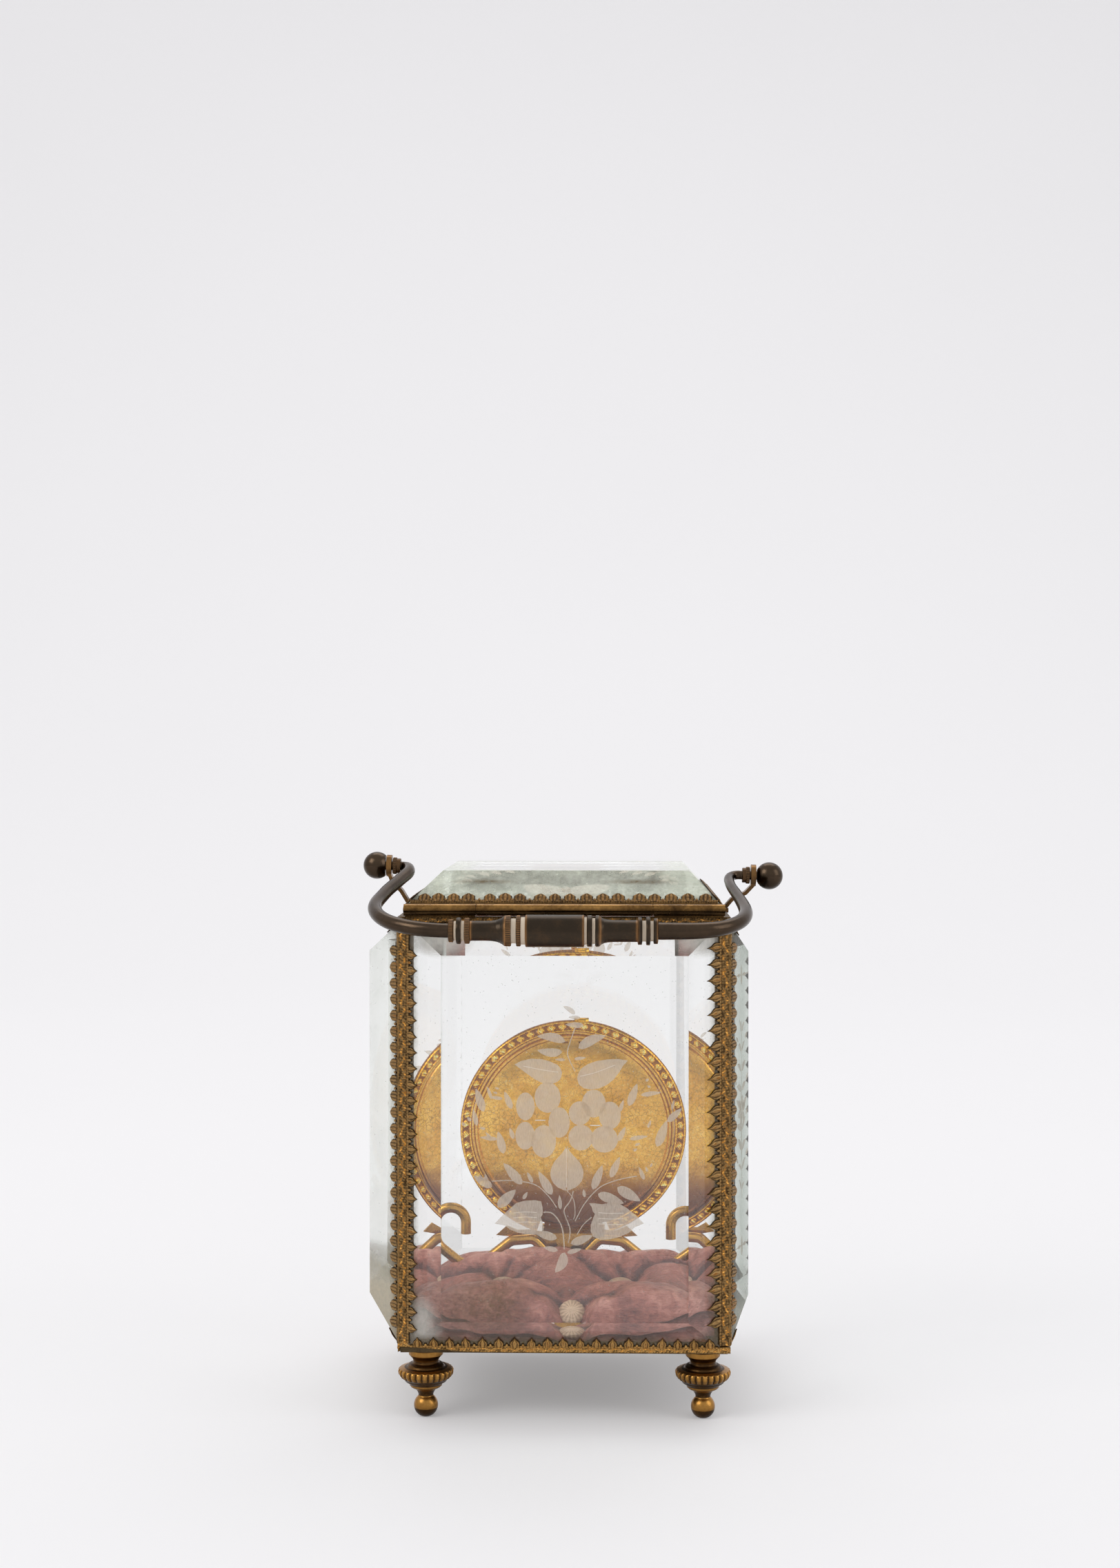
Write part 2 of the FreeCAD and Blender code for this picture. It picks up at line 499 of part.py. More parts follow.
tabp = [V(-4.0, LID_HY + 0.02, 125.7), V(3.0, LID_HY + 0.02, 125.7), V(3.0, LID_HY + 0.02, 128.1), V(-4.0, LID_HY + 0.02, 128.1)]
tab = prism(tabp, V(0, 0.5, 0))
tongue = [V(-4.0, LID_HY + 0.3, 125.7), V(3.0, LID_HY + 0.3, 125.7), V(2.2, 40.2, 125.7), V(0.8, 41.4, 125.7),
          V(-1.8, 41.4, 125.7), V(-3.2, 40.2, 125.7)]
tab = tab.fuse(prism(tongue, V(0, 0, 0.55)))
for x in (-2.6, 1.6):
    tab = tab.cut(Part.makeCylinder(0.45, 3.0, V(x, LID_HY + 2.0, 127.2), -Y))
put("lid_tab", tab.removeSplitter())
riv = []
for x in (-2.6, 1.6):
    r = Part.makeCylinder(0.44, 1.05, V(x, LID_HY + 0.56, 127.2), -Y)
    h = Part.makeCylinder(0.8, 0.35, V(x, LID_HY + 0.54, 127.2), Y)
    riv.append(r.fuse(h).removeSplitter())
put("lid_tab_rivets", Part.makeCompound(riv))

# ---------------------------------------------------------------- handle
AX = PIV_R.sub(PIV_L)
AX.normalize()


def on_axis(x):
    """The point of the handle's axis at this X."""
    return PIV_L + AX * ((x - PIV_L.x) / AX.x)


def along_axis(x0, x1, r):
    a = on_axis(x0)
    return Part.makeCylinder(r, on_axis(x1).sub(a).Length, a, AX)


ROD_L = [(-43.40, 0.0, 135.64, 1.16), (-42.55, -0.30, 135.55, 1.22), (-41.75, -1.25, 135.33, 1.38),
         (-41.25, -2.90, 134.92, 1.52), (-41.15, -5.30, 134.29, 1.62), (-42.10, -9.16, 133.25, 1.63), (-43.70, -14.80, 131.68, 1.62),
         (-45.01, -19.28, 130.43, 1.63), (-46.14, -24.20, 129.02, 1.66), (-46.92, -28.53, 127.86, 1.71),
         (-46.98, -32.94, 126.63, 1.74), (-46.06, -36.73, 125.57, 1.75), (-44.56, -39.90, 124.72, 1.77),
         (-42.50, -42.53, 123.95, 1.80), (-40.15, -44.60, 123.39, 1.82), (-37.30, -46.30, 122.93, 1.80),
         (-34.00, -47.50, 122.58, 1.77), (-30.6, -48.10, 122.36, 1.75), (-27.60, GRIP_Y, GRIP_Z, 1.75)]
ROD_R = [(45.55, 0.0, 133.33, 1.16), (44.3, -0.12, 133.30, 1.18), (43.15, -0.95, 133.02, 1.23),
         (42.50, -2.6, 132.60, 1.27), (42.40, -5.6, 131.88, 1.29), (42.62, -9.8, 130.92, 1.31),
         (43.30, -14.89, 129.75, 1.38), (44.10, -20.90, 128.39, 1.47), (44.79, -27.40, 126.92, 1.60),
         (44.97, -32.34, 125.79, 1.69), (44.42, -36.66, 124.82, 1.74), (43.20, -40.10, 124.04, 1.77),
         (41.47, -42.80, 123.44, 1.80), (39.20, -45.15, 122.92, 1.84), (36.40, -46.90, 122.56, 1.90),
         (33.20, -47.90, 122.34, 1.97), (29.5, -48.28, 122.26, 2.03), (26.0, GRIP_Y, GRIP_Z, 2.06), (23.00, GRIP_Y, GRIP_Z, 2.08)]


def rod(st, t0, t1):
    n = len(st)
    P = [V(*s[:3]) for s in st]
    circles = []
    for i in range(n):
        if i == 0:
            t = t0
        elif i == n - 1:
            t = t1
        else:
            t = P[i + 1].sub(P[i - 1])
        circles.append(Part.Wire([Part.makeCircle(st[i][3], P[i], t)]))
    return Part.makeLoft(circles, True, False)


left = rod([(*tuple(on_axis(-43.40)), 1.16)] + ROD_L[1:], AX, X)
right = rod([(*tuple(on_axis(45.55)), 1.16)] + ROD_R[1:], -AX, -X)
neck_l = along_axis(-49.2, -43.10, NECK_R)
neck_r = along_axis(45.25, 52.4, NECK_R)
spig_l = Part.makeCylinder(0.98, 4.2, V(-27.8, GRIP_Y, GRIP_Z), X)
spig_r = Part.makeCylinder(0.98, 4.2, V(23.2, GRIP_Y, GRIP_Z), -X)
put("handle_rod_left", left.fuse([neck_l, spig_l]).removeSplitter())
put("handle_rod_right", right.fuse([neck_r, spig_r]).removeSplitter())

# turned grip: (x, radius) stations from its left end to its right end
GRIP = [(-27.58, 2.45), (-27.45, 2.76), (-26.45, 2.76), (-26.3, 2.35), (-25.75, 2.35), (-25.6, 3.10), (-25.3, 3.22),
        (-24.8, 3.22), (-24.5, 3.05), (-24.35, 2.40), (-23.8, 2.40), (-23.65, 3.02), (-23.5, 3.12), (-22.6, 3.12),
        (-22.45, 3.0), (-22.3, 2.42), (-19.0, 2.38), (-17.2, 2.45), (-16.0, 2.62), (-15.1, 2.95), (-14.4, 3.40),
        (-13.95, 3.70), (-12.7, 3.75), (-12.5, 3.6), (-12.4, 3.0), (-11.3, 3.0), (-11.2, 3.62), (-11.05, 3.75),
        (-10.3, 3.75), (-10.15, 3.6), (-10.05, 3.30), (-9.1, 3.30), (-9.0, 3.75), (-8.85, 3.90), (5.0, 3.90),
        (5.15, 3.75), (5.2, 3.30), (5.75, 3.30), (5.85, 3.65), (6.0, 3.80), (6.9, 3.80), (7.05, 3.65), (7.1, 3.10),
        (7.75, 3.10), (7.85, 3.65), (8.0, 3.80), (8.75, 3.78), (8.95, 3.55), (9.35, 3.20), (9.9, 2.95), (10.8, 2.75),
        (12.2, 2.65), (14.5, 2.63), (17.6, 2.63), (17.95, 2.63), (18.05, 3.2), (18.15, 3.30), (18.95, 3.30),
        (19.05, 3.2), (19.15, 2.50), (19.95, 2.50), (20.05, 3.3), (20.2, 3.42), (20.85, 3.42), (21.0, 3.3),
        (21.1, 2.45), (21.75, 2.45), (21.85, 2.98), (21.95, 3.10), (22.8, 3.10), (22.95, 2.6)]
gp = [V(GRIP[0][0], GRIP_Y, GRIP_Z)] + [V(x, GRIP_Y, GRIP_Z + r) for x, r in GRIP] + [V(GRIP[-1][0], GRIP_Y, GRIP_Z)]
grip = Part.Face(Part.makePolygon(gp + [gp[0]])).revolve(V(0, GRIP_Y, GRIP_Z), X, 360)
grip = grip.cut(Part.makeCylinder(1.0, 4.5, V(-27.9, GRIP_Y, GRIP_Z), X))
grip = grip.cut(Part.makeCylinder(1.0, 4.5, V(23.3, GRIP_Y, GRIP_Z), -X))
put("handle_grip", grip)


def ball(P, x_cut, s):
    b = Part.makeSphere(BALL_R, P)
    a = on_axis(x_cut)
    big = Part.makeCylinder(10, 10, a, AX * (-s))
    b = b.cut(big)
    hole = Part.makeCylinder(NECK_R + 0.01, abs(P.x - x_cut) + 0.75, a, AX * s)
    return b.cut(hole)


put("handle_ball_left", ball(PIV_L, -47.55, -1))
put("handle_ball_right", ball(PIV_R, 49.90, 1))


def collar(x0, x1, x2, ra, rb, s):
    a, b = sorted((x0, x1))
    c = along_axis(a, b, ra)
    d, e = sorted((x1, x2))
    c = c.fuse(along_axis(d, e, rb)).removeSplitter()
    return c.cut(along_axis(min(x0, x2) - 1, max(x0, x2) + 1, NECK_R + 0.01))


put("handle_collar_left", collar(-45.62, -44.65, -43.6, 2.2, 1.95, -1))
put("handle_collar_right", collar(48.0, 47.0, 46.05, 2.2, 1.95, 1))


# brackets: a flat strap that rises from the top rail, leans outward and ends in an eye
def bracket(s, centre, th, eye_x, eye_t, half_w):
    # strap outline in XZ from a centre line
    n = len(centre)
    L, R = [], []
    for i, (x, z) in enumerate(centre):
        if i == 0:
            dx, dz = centre[1][0] - x, centre[1][1] - z
        elif i == n - 1:
            dx, dz = x - centre[-2][0], z - centre[-2][1]
        else:
            a = (x - centre[i - 1][0], z - centre[i - 1][1])
            b = (centre[i + 1][0] - x, centre[i + 1][1] - z)
            la, lb = math.hypot(*a), math.hypot(*b)
            dx, dz = a[0] / la + b[0] / lb, a[1] / la + b[1] / lb
        l = math.hypot(dx, dz)
        nx, nz = -dz / l, dx / l
        L.append(V(x + nx * th / 2, -half_w, z + nz * th / 2))
        R.append(V(x - nx * th / 2, -half_w, z - nz * th / 2))
    strap = prism(L + R[::-1], V(0, 2 * half_w, 0))
    foot = box(min(s * (HX + 0.02), s * (HX + 0.92)), -4.4, 123.68, max(s * (HX + 0.02), s * (HX + 0.92)), 4.4, 124.9)
    a = on_axis(eye_x - eye_t / 2)
    eye = Part.makeCylinder(2.85, eye_t, a, AX)
    b = fuse([strap, foot, eye])
    b = b.cut(Part.makeCylinder(EYE_BORE, eye_t + 6, on_axis(eye_x - eye_t / 2 - 3), AX))
    for y in (-2.9, 2.9):
        b = b.cut(Part.makeCylinder(0.5, 4, V(s * (HX + 2), y, 124.29), V(-s, 0, 0)))
    return b


put("handle_bracket_left", bracket(-1, [(-41.5, 123.68), (-41.5, 126.0), (-43.3, 129.0), (-45.9, 132.0), (-46.55, 133.6), (-46.6, 135.7)],
                                   0.95, -46.6, 1.3, 1.9))
put("handle_bracket_right", bracket(1, [(41.52, 123.68), (41.62, 125.0), (43.3, 127.0), (46.9, 128.7), (48.7, 130.6), (48.95, 133.0)],
                                    0.95, 48.95, 1.3, 1.9))
riv = []
for s in (-1, 1):
    for y in (-2.9, 2.9):
        shank = Part.makeCylinder(0.49, 2.6, V(s * (HX + 0.95), y, 124.29), V(-s, 0, 0))
        head = Part.makeCylinder(0.62, 0.35, V(s * (HX + 0.93), y, 124.29), V(s, 0, 0))
        riv.append(shank.fuse(head).removeSplitter())
put("bracket_rivets", Part.makeCompound(riv))

# ---------------------------------------------------------------- write one STEP per piece
total = None
for name in sorted(NODES):
    s = NODES[name]
    ok = s.isValid()
    for sol in s.Solids:
        if sol.Volume <= 0:
            ok = False
    print("%-26s solids %d faces %4d volume %9.2f %s" % (name, len(s.Solids), len(s.Faces), s.Volume, "" if ok else "INVALID"))
    s.exportStep("parts/%s.step" % name)
    b = s.BoundBox
    total = b if total is None else total.united(b)
print("nodes", len(NODES), "box", [round(v, 3) for v in (total.XMin, total.YMin, total.ZMin, total.XMax, total.YMax, total.ZMax)])
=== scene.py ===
import json
import math
import bmesh
import bpy
import numpy as np
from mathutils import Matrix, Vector

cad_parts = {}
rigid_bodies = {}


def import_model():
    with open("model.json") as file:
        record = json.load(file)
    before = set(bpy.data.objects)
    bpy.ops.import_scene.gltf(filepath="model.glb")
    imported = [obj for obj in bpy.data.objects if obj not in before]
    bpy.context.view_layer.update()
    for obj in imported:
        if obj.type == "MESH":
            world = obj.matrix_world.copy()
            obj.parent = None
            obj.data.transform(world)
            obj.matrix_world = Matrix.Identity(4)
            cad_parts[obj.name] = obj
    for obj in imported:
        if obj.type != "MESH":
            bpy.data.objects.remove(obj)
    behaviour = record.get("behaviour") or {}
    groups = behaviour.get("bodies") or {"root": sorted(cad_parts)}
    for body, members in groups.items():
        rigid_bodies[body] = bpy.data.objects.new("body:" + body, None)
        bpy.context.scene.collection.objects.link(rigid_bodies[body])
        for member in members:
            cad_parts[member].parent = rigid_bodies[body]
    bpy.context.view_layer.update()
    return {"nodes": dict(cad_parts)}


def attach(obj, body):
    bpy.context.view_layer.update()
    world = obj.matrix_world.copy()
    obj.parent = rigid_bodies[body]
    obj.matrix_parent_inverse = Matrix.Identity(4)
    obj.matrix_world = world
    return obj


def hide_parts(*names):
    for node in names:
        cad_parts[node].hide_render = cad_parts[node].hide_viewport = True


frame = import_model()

# Sizes are in millimetres in the casket's own frame (X right, Y away from the hinge side, Z up, middle of the case at
# X = Y = 0); SHIFT puts them into the row frame.
SHIFT = np.array([-1.6, 4.0, 0.0])
HX, HY = 41.0, 37.2
Z_PLATE1, Z_GL0, Z_GL1, Z_RAIL1 = 18.4, 19.1, 123.0, 124.8
POST, EDGE = 2.6, 2.5
BG_X, SG_Y = 38.3, 34.5
GIN_Y, GIN_X = 34.7, 38.7
PROUD = {"back": 7.0, "front": 7.0, "left": 8.0, "right": 5.0}
FLAT_Z = {"back": (26.7, 115.9), "front": (26.7, 115.9), "left": (29.6, 115.7), "right": (29.6, 115.6)}
FLAT_X = {("back", -1): 29.7, ("back", 1): 30.4, ("front", -1): 30.0, ("front", 1): 30.0}
LID_HX, LID_HY, LID_Z0, LID_ZW, LID_TOP = 39.0, 36.6, 125.5, 128.15, 135.8
DISC_C, DISC_LEAN, DISC_R = np.array([1.8, -1.0, 67.05]), math.radians(9.0), 29.45
GRIP_Y, GRIP_Z = -48.3, 122.26
FOOT_X, FOOT_Y = 34.5, 30.8
STAND_Y = 3.4
X, Y, Z = np.eye(3)


# ---------------------------------------------------------------- mesh building
class Mesh:
    """Collects closed pieces of mesh, with a 0..1 value per point: 0 in the hollows of the relief, 1 on its heights."""

    def __init__(self):
        self.v, self.f, self.a, self.n = [], [], [], 0

    def add(self, v, f, a=None, flip=False):
        v = np.asarray(v, float)
        self.v.append(v)
        self.a.append(np.full(len(v), 0.5) if a is None else np.clip(np.asarray(a, float), 0, 1))
        if flip:
            self.f.extend([tuple(i + self.n for i in reversed(q)) for q in f])
        else:
            self.f.extend([tuple(i + self.n for i in q) for q in f])
        self.n += len(v)

    def obj(self, name, body, mat, smooth=True, replaces=(), angle=None):
        v = (np.concatenate(self.v) + SHIFT) * 0.001
        me = bpy.data.meshes.new(name)
        me.from_pydata([tuple(p) for p in v], [], self.f)
        me.update()
        at = me.attributes.new("relief", "FLOAT", "POINT")
        at.data.foreach_set("value", np.concatenate(self.a).astype(np.float32))
        if smooth:
            me.polygons.foreach_set("use_smooth", np.ones(len(me.polygons), bool))
        o = bpy.data.objects.new(name, me)
        bpy.context.scene.collection.objects.link(o)
        if angle is not None:
            o.data.set_sharp_from_angle(angle=math.radians(angle))
        for m in (mat if isinstance(mat, (list, tuple)) else [mat]):
            me.materials.append(m)
        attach(o, body)
        if replaces:
            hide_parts(*replaces)
        return o


def grid_faces(nu, nv, wrap_u=False, wrap_v=False, base=0):
    f = []
    for i in range(nu if wrap_u else nu - 1):
        i2 = (i + 1) % nu
        for j in range(nv if wrap_v else nv - 1):
            j2 = (j + 1) % nv
            f.append((base + i * nv + j, base + i2 * nv + j, base + i2 * nv + j2, base + i * nv + j2))
    return f


def tube_grid(mesh, P, A=None, caps=True, wrap=False, flip=False):
    """P is (stations, points round, 3), each station a closed loop."""
    nu, nv = P.shape[:2]
    f = grid_faces(nu, nv, wrap, True)
    if caps and not wrap:
        f.append(tuple(range(nv)))
        f.append(tuple(reversed(range((nu - 1) * nv, nu * nv))))
    mesh.add(P.reshape(-1, 3), f, None if A is None else A.reshape(-1), flip)


def plate_grid(mesh, F, B, A=None, flip=False):
    """A closed sheet from a front grid F and a back grid B of the same shape."""
    nu, nv = F.shape[:2]
    n = nu * nv
    f = grid_faces(nu, nv)
    f += [tuple(reversed(q)) for q in grid_faces(nu, nv, base=n)]
    ring = [j for j in range(nv)] + [i * nv + nv - 1 for i in range(1, nu)] + [(nu - 1) * nv + j for j in range(nv - 2, -1, -1)] + [i * nv for i in range(nu - 2, 0, -1)]
    for k in range(len(ring)):
        a, b = ring[k], ring[(k + 1) % len(ring)]
        f.append((b, a, a + n, b + n))
    V = np.concatenate([F.reshape(-1, 3), B.reshape(-1, 3)])
    if A is None:
        A = np.full((nu, nv), 0.5)
    mesh.add(V, f, np.concatenate([A.reshape(-1), A.reshape(-1) * 0]), flip)


def place(O, S, T, N):
    """Map from (s, t, n) to the casket's frame, and whether it turns faces inside out."""
    M = np.array([S, T, N])
    O = np.asarray(O, float)
    return (lambda p: O + np.asarray(p) @ M), np.linalg.det(M) < 0


def unit(v):
    v = np.asarray(v, float)
    return v / np.linalg.norm(v)


def smooth(x, a, b):
    t = np.clip((x - a) / (b - a), 0, 1)
    return t * t * (3 - 2 * t)


# ---------------------------------------------------------------- stamped ornament
POINTED = [(0, 0.82), (0.15, 0.95), (0.40, 1.0), (0.56, 0.90), (0.65, 0.58), (0.76, 0.36), (0.90, 0.20), (1, 0.03)]
TEETH = {
    "palmette": (3.05, 1.20, POINTED, 2),
    "crest": (3.75, 1.16, POINTED, 2),
    "long": (4.35, 1.26, [(0, 0.86), (0.20, 1.0), (0.44, 0.98), (0.54, 0.84), (0.61, 0.50), (0.72, 0.30), (0.88, 0.14), (1, 0.02)], 2),
    "shell": (2.75, 1.36, [(0, 0.84), (0.20, 0.97), (0.50, 1.0), (0.74, 0.88), (0.90, 0.60), (1, 0.18)], 3),
    "big": (2.95, 1.62, [(0, 0.60), (0.15, 0.86), (0.40, 1.0), (0.70, 0.92), (0.88, 0.62), (1, 0.14)], 3),
    "dart": (0.95, 0.40, [(0, 0.8), (0.4, 1.0), (0.8, 0.7), (1, 0.1)], 1),
}


def tooth(kind, rng):
    """One stamped tooth: a ribbed shield drawn out to a point; (s, t, n) front and back and the relief value, which
    paints light ribs, a dark rim and a bright boss as shading.
    """
    L, wide, prof, ribs = TEETH[kind]
    small = kind == "dart"
    na, nr = (9, 8) if small else (25, 16)
    k = np.linspace(-1, 1, na)
    q = np.linspace(0, 1, nr)
    w = np.interp(q, [a for a, _ in prof], [b for _, b in prof]) * wide * (1 + rng.uniform(-0.05, 0.05))
    w = w * (1 + 0.04 * np.cos(q * 19))
    tipx = rng.uniform(-0.10, 0.10) * wide
    s = k[:, None] * w[None, :] + tipx * q[None, :] ** 2
    t = 0.10 + q[None, :] * L * np.ones((na, 1)) - (0.10 if not small else 0) * (np.abs(k) ** 2)[:, None] * (q < 0.6)[None, :]
    rib = np.abs(np.cos(math.pi * k * ribs / 2)) ** 0.7 if not small else np.ones(na)
    edge = 1 - smooth(np.abs(k), 0.80, 1.0)
    tail = 1 - 0.55 * smooth(q, 0.55, 1.0)
    top = 0.15 + (0.13 + 0.22 * rib[:, None]) * (0.25 + 0.75 * edge[:, None]) * tail[None, :]
    # painted shade: the ribs lighter than the grooves between them, the rim dark as if shadowed, the boss bright
    val = (0.17 + 0.31 * rib[:, None]) * (0.15 + 0.85 * edge[:, None]) * (0.8 + 0.2 * tail[None, :])
    if not small:
        boss = np.exp(-((s / 0.36) ** 2 + ((t - 0.5) / 0.36) ** 2))
        top = top + 0.12 * boss
        val = np.maximum(val, boss * 0.46)
    F = np.stack([s, t, top], -1)
    B = np.stack([s, t, np.zeros_like(s)], -1)
    return F, B, val


def strip_teeth(mesh, O, S, T, N, s0, s1, teeth, kinds, rng, off=0.06, base=0.55, edge=0.45, bead=0.8, darts=True, skew=0.0):
    """A stamped edging with its teeth, lying on a bevel."""
    f, flip = place(O, S, T, N)
    # edging: half round, finely beaded
    ns = max(2, int((s1 - s0) / 0.17))
    s = np.linspace(s0, s1, ns)
    c = np.linspace(0, math.pi, 9)
    tt = (edge - base) / 2 - np.cos(c) * (edge + base) / 2
    nn = np.sin(c) ** 0.7
    amp = 0.27 + 0.13 * np.abs(np.cos(math.pi * s / bead)) ** 0.7
    wob = 0.02 * np.sin(s * 1.7 + rng.uniform(0, 6)) + 0.015 * np.sin(s * 0.61 + rng.uniform(0, 6))
    P = np.zeros((ns, 11, 3))
    P[:, :9, 0] = s[:, None]
    P[:, :9, 1] = tt[None, :] + wob[:, None]
    P[:, :9, 2] = off + 0.02 + nn[None, :] * (amp + wob)[:, None]
    P[:, 9, :] = np.stack([s, np.full(ns, edge) + wob, np.full(ns, off)], -1)
    P[:, 10, :] = np.stack([s, np.full(ns, -base) + wob, np.full(ns, off)], -1)
    A = np.zeros((ns, 11))
    A[:, :9] = 0.46 * nn[None, :] * (0.35 + 0.65 * np.abs(np.cos(math.pi * s / bead)) ** 0.7)[:, None]
    tube_grid(mesh, f(P), A, flip=not flip)
    for i, c in enumerate(teeth):
        kind = kinds[i % len(kinds)]
        F, B, val = tooth(kind, rng)
        a = rng.uniform(-0.07, 0.07) + skew
        sc = 1 + rng.uniform(-0.04, 0.04)
        R = np.array([[math.cos(a), -math.sin(a)], [math.sin(a), math.cos(a)]])
        for G in (F, B):
            st = (G[..., :2] * sc) @ R.T
            G[..., 0] = st[..., 0] + c + rng.uniform(-0.06, 0.06) * 0
            G[..., 1] = st[..., 1]
            G[..., 2] += off
        plate_grid(mesh, f(F), f(B), val, flip=not flip)
    if darts:
        tt = sorted(teeth)
        for a, b in zip(tt[:-1], tt[1:]):
            if b - a < 3.0:
                continue
            F, B, val = tooth("dart", rng)
            for G in (F, B):
                G[..., 0] = G[..., 0] * 0.9 + (a + b) / 2
                G[..., 1] += 0.28
                G[..., 2] += off
            plate_grid(mesh, f(F), f(B), val, flip=not flip)


def foliage(s, w, period, phase, rng_row):
    """Running scroll between two raised borders, worn and pitted; w runs from -1 to 1 across the band."""
    u = (s + phase + 0.5 * np.sin(s * 0.53 + phase)) / period
    stem = 0.34 * np.sin(2 * math.pi * u) + 0.10 * np.sin(s * 1.9)
    h = 0.62 * np.exp(-((w - stem) / 0.13) ** 2)
    for side, off in ((1, 0.75), (-1, 0.25)):
        x = (np.mod(u + off + 0.5, 1.0) - 0.5) * period
        yy = w - side * 0.34
        rr = (x / 0.95) ** 2 + (yy / 0.38) ** 2
        h = np.maximum(h, np.exp(-rr ** 1.5) * (0.52 + 0.42 * np.cos(7.0 * x + side * 6.0 * yy)))
        x2 = (np.mod(u + off + 0.08, 1.0) - 0.5) * period
        h = np.maximum(h, 0.50 * np.exp(-((x2 / 0.42) ** 2 + ((w + side * 0.52) / 0.24) ** 2)))
    wear = np.sin(s * 5.3 + 3.1 * w + 1.7 * np.sin(s * 1.13)) * np.sin(s * 3.1 - 6.0 * w + phase) + 0.7 * np.sin(s * 8.9 - 4.0 * w + 2.0 * np.sin(s * 0.71 + phase)) * np.cos(s * 1.7 + 5.0 * w)
    h = h + 0.30 * wear
    rim = 0.80 * smooth(np.abs(w), 0.80, 0.90) * (1 - 0.35 * smooth(np.abs(w), 0.94, 1.0))
    h = np.maximum(h, rim * (0.72 + 0.28 * np.sin(s * 2.3 + 9 * np.sign(w) + phase)))
    return np.clip(h, 0, 1.1)


def band(mesh, ss, prof, dense, place_fn, amp=0.17, period=4.0, phase=0.0, flip=False, mitre=None, plain=0.25):
    """Sweep of a closed cross-section. prof: list of (p, q) points; dense: per point (w, normal) or None."""
    n = len(prof)
    P = np.zeros((len(ss), n, 3))
    A = np.full((len(ss), n), plain)
    for i, (p, q) in enumerate(prof):
        s = ss if mitre is None else ss * mitre(p)
        if dense[i] is None:
            P[:, i] = place_fn(s, np.full_like(s, p), np.full_like(s, q))
        else:
            w, (np_, nq) = dense[i]
            h = foliage(s, w, period, phase, 0.0)
            P[:, i] = place_fn(s, p + np_ * (h - 0.5) * amp, q + nq * (h - 0.5) * amp)
            A[:, i] = 0.20 + 0.74 * h
    tube_grid(mesh, P, A, flip=flip)


def centred(s0, s1, pitch, half=1.4):
    n = int((s1 - s0 - 2 * half) // pitch)
    m = (s0 + s1) / 2
    return [m + (i - n / 2) * pitch for i in range(n + 1)]


def bevel(run, rise):
    n = math.hypot(run, rise)
    return run / n, rise / n


# ---------------------------------------------------------------- material helpers
def new_mat(name):
    m = bpy.data.materials.new(name)
    m.use_nodes = True
    nt = m.node_tree
    for n in list(nt.nodes):
        nt.nodes.remove(n)
    return m, nt


class NT:
    def __init__(self, nt):
        self.nt = nt

    def n(self, kind, **kw):
        node = self.nt.nodes.new(kind)
        for k, v in kw.items():
            if k.startswith("i_"):
                key = k[2:].replace("__", " ")
                node.inputs[key].default_value = v
            else:
                setattr(node, k, v)
        return node

    def link(self, a, b):
        self.nt.links.new(a, b)

    def ramp(self, fac, stops, interp="LINEAR"):
        r = self.nt.nodes.new("ShaderNodeValToRGB")
        r.color_ramp.interpolation = interp
        el = r.color_ramp.elements
        while len(el) < len(stops):
            el.new(0.5)
        for e, (p, c) in zip(el, stops):
            e.position = p
            e.color = (*c, 1) if len(c) == 3 else c
        self.link(fac, r.inputs["Fac"])
        return r.outputs["Color"]

    def noise(self, co, scale, detail=4, rough=0.55, dist=0.0):
        t = self.nt.nodes.new("ShaderNodeTexNoise")
        t.inputs["Scale"].default_value = scale
        t.inputs["Detail"].default_value = detail
        t.inputs["Roughness"].default_value = rough
        t.inputs["Distortion"].default_value = dist
        self.link(co, t.inputs["Vector"])
        return t.outputs["Fac"]

    def math(self, op, a, b=None, c=None, clamp=False):
        m = self.nt.nodes.new("ShaderNodeMath")
        m.operation = op
        m.use_clamp = clamp
        for i, v in enumerate((a, b, c)):
            if v is None:
                continue
            if hasattr(v, "links"):
                self.link(v, m.inputs[i])
            else:
                m.inputs[i].default_value = v
        return m.outputs[0]

    def mix(self, fac, a, b):
        m = self.nt.nodes.new("ShaderNodeMix")
        m.data_type = "RGBA"
        for sock, v in ((m.inputs[0], fac), (m.inputs[6], a), (m.inputs[7], b)):
            if hasattr(v, "links"):
                self.link(v, sock)
            else:
                sock.default_value = v if not isinstance(v, tuple) or len(v) == 4 else (*v, 1)
        return m.outputs[2]

    def bump(self, height, strength, distance, normal=None):
        b = self.nt.nodes.new("ShaderNodeBump")
        b.inputs["Strength"].default_value = strength
        b.inputs["Distance"].default_value = distance
        self.link(height, b.inputs["Height"])
        if normal is not None:
            self.link(normal, b.inputs["Normal"])
        return b.outputs["Normal"]


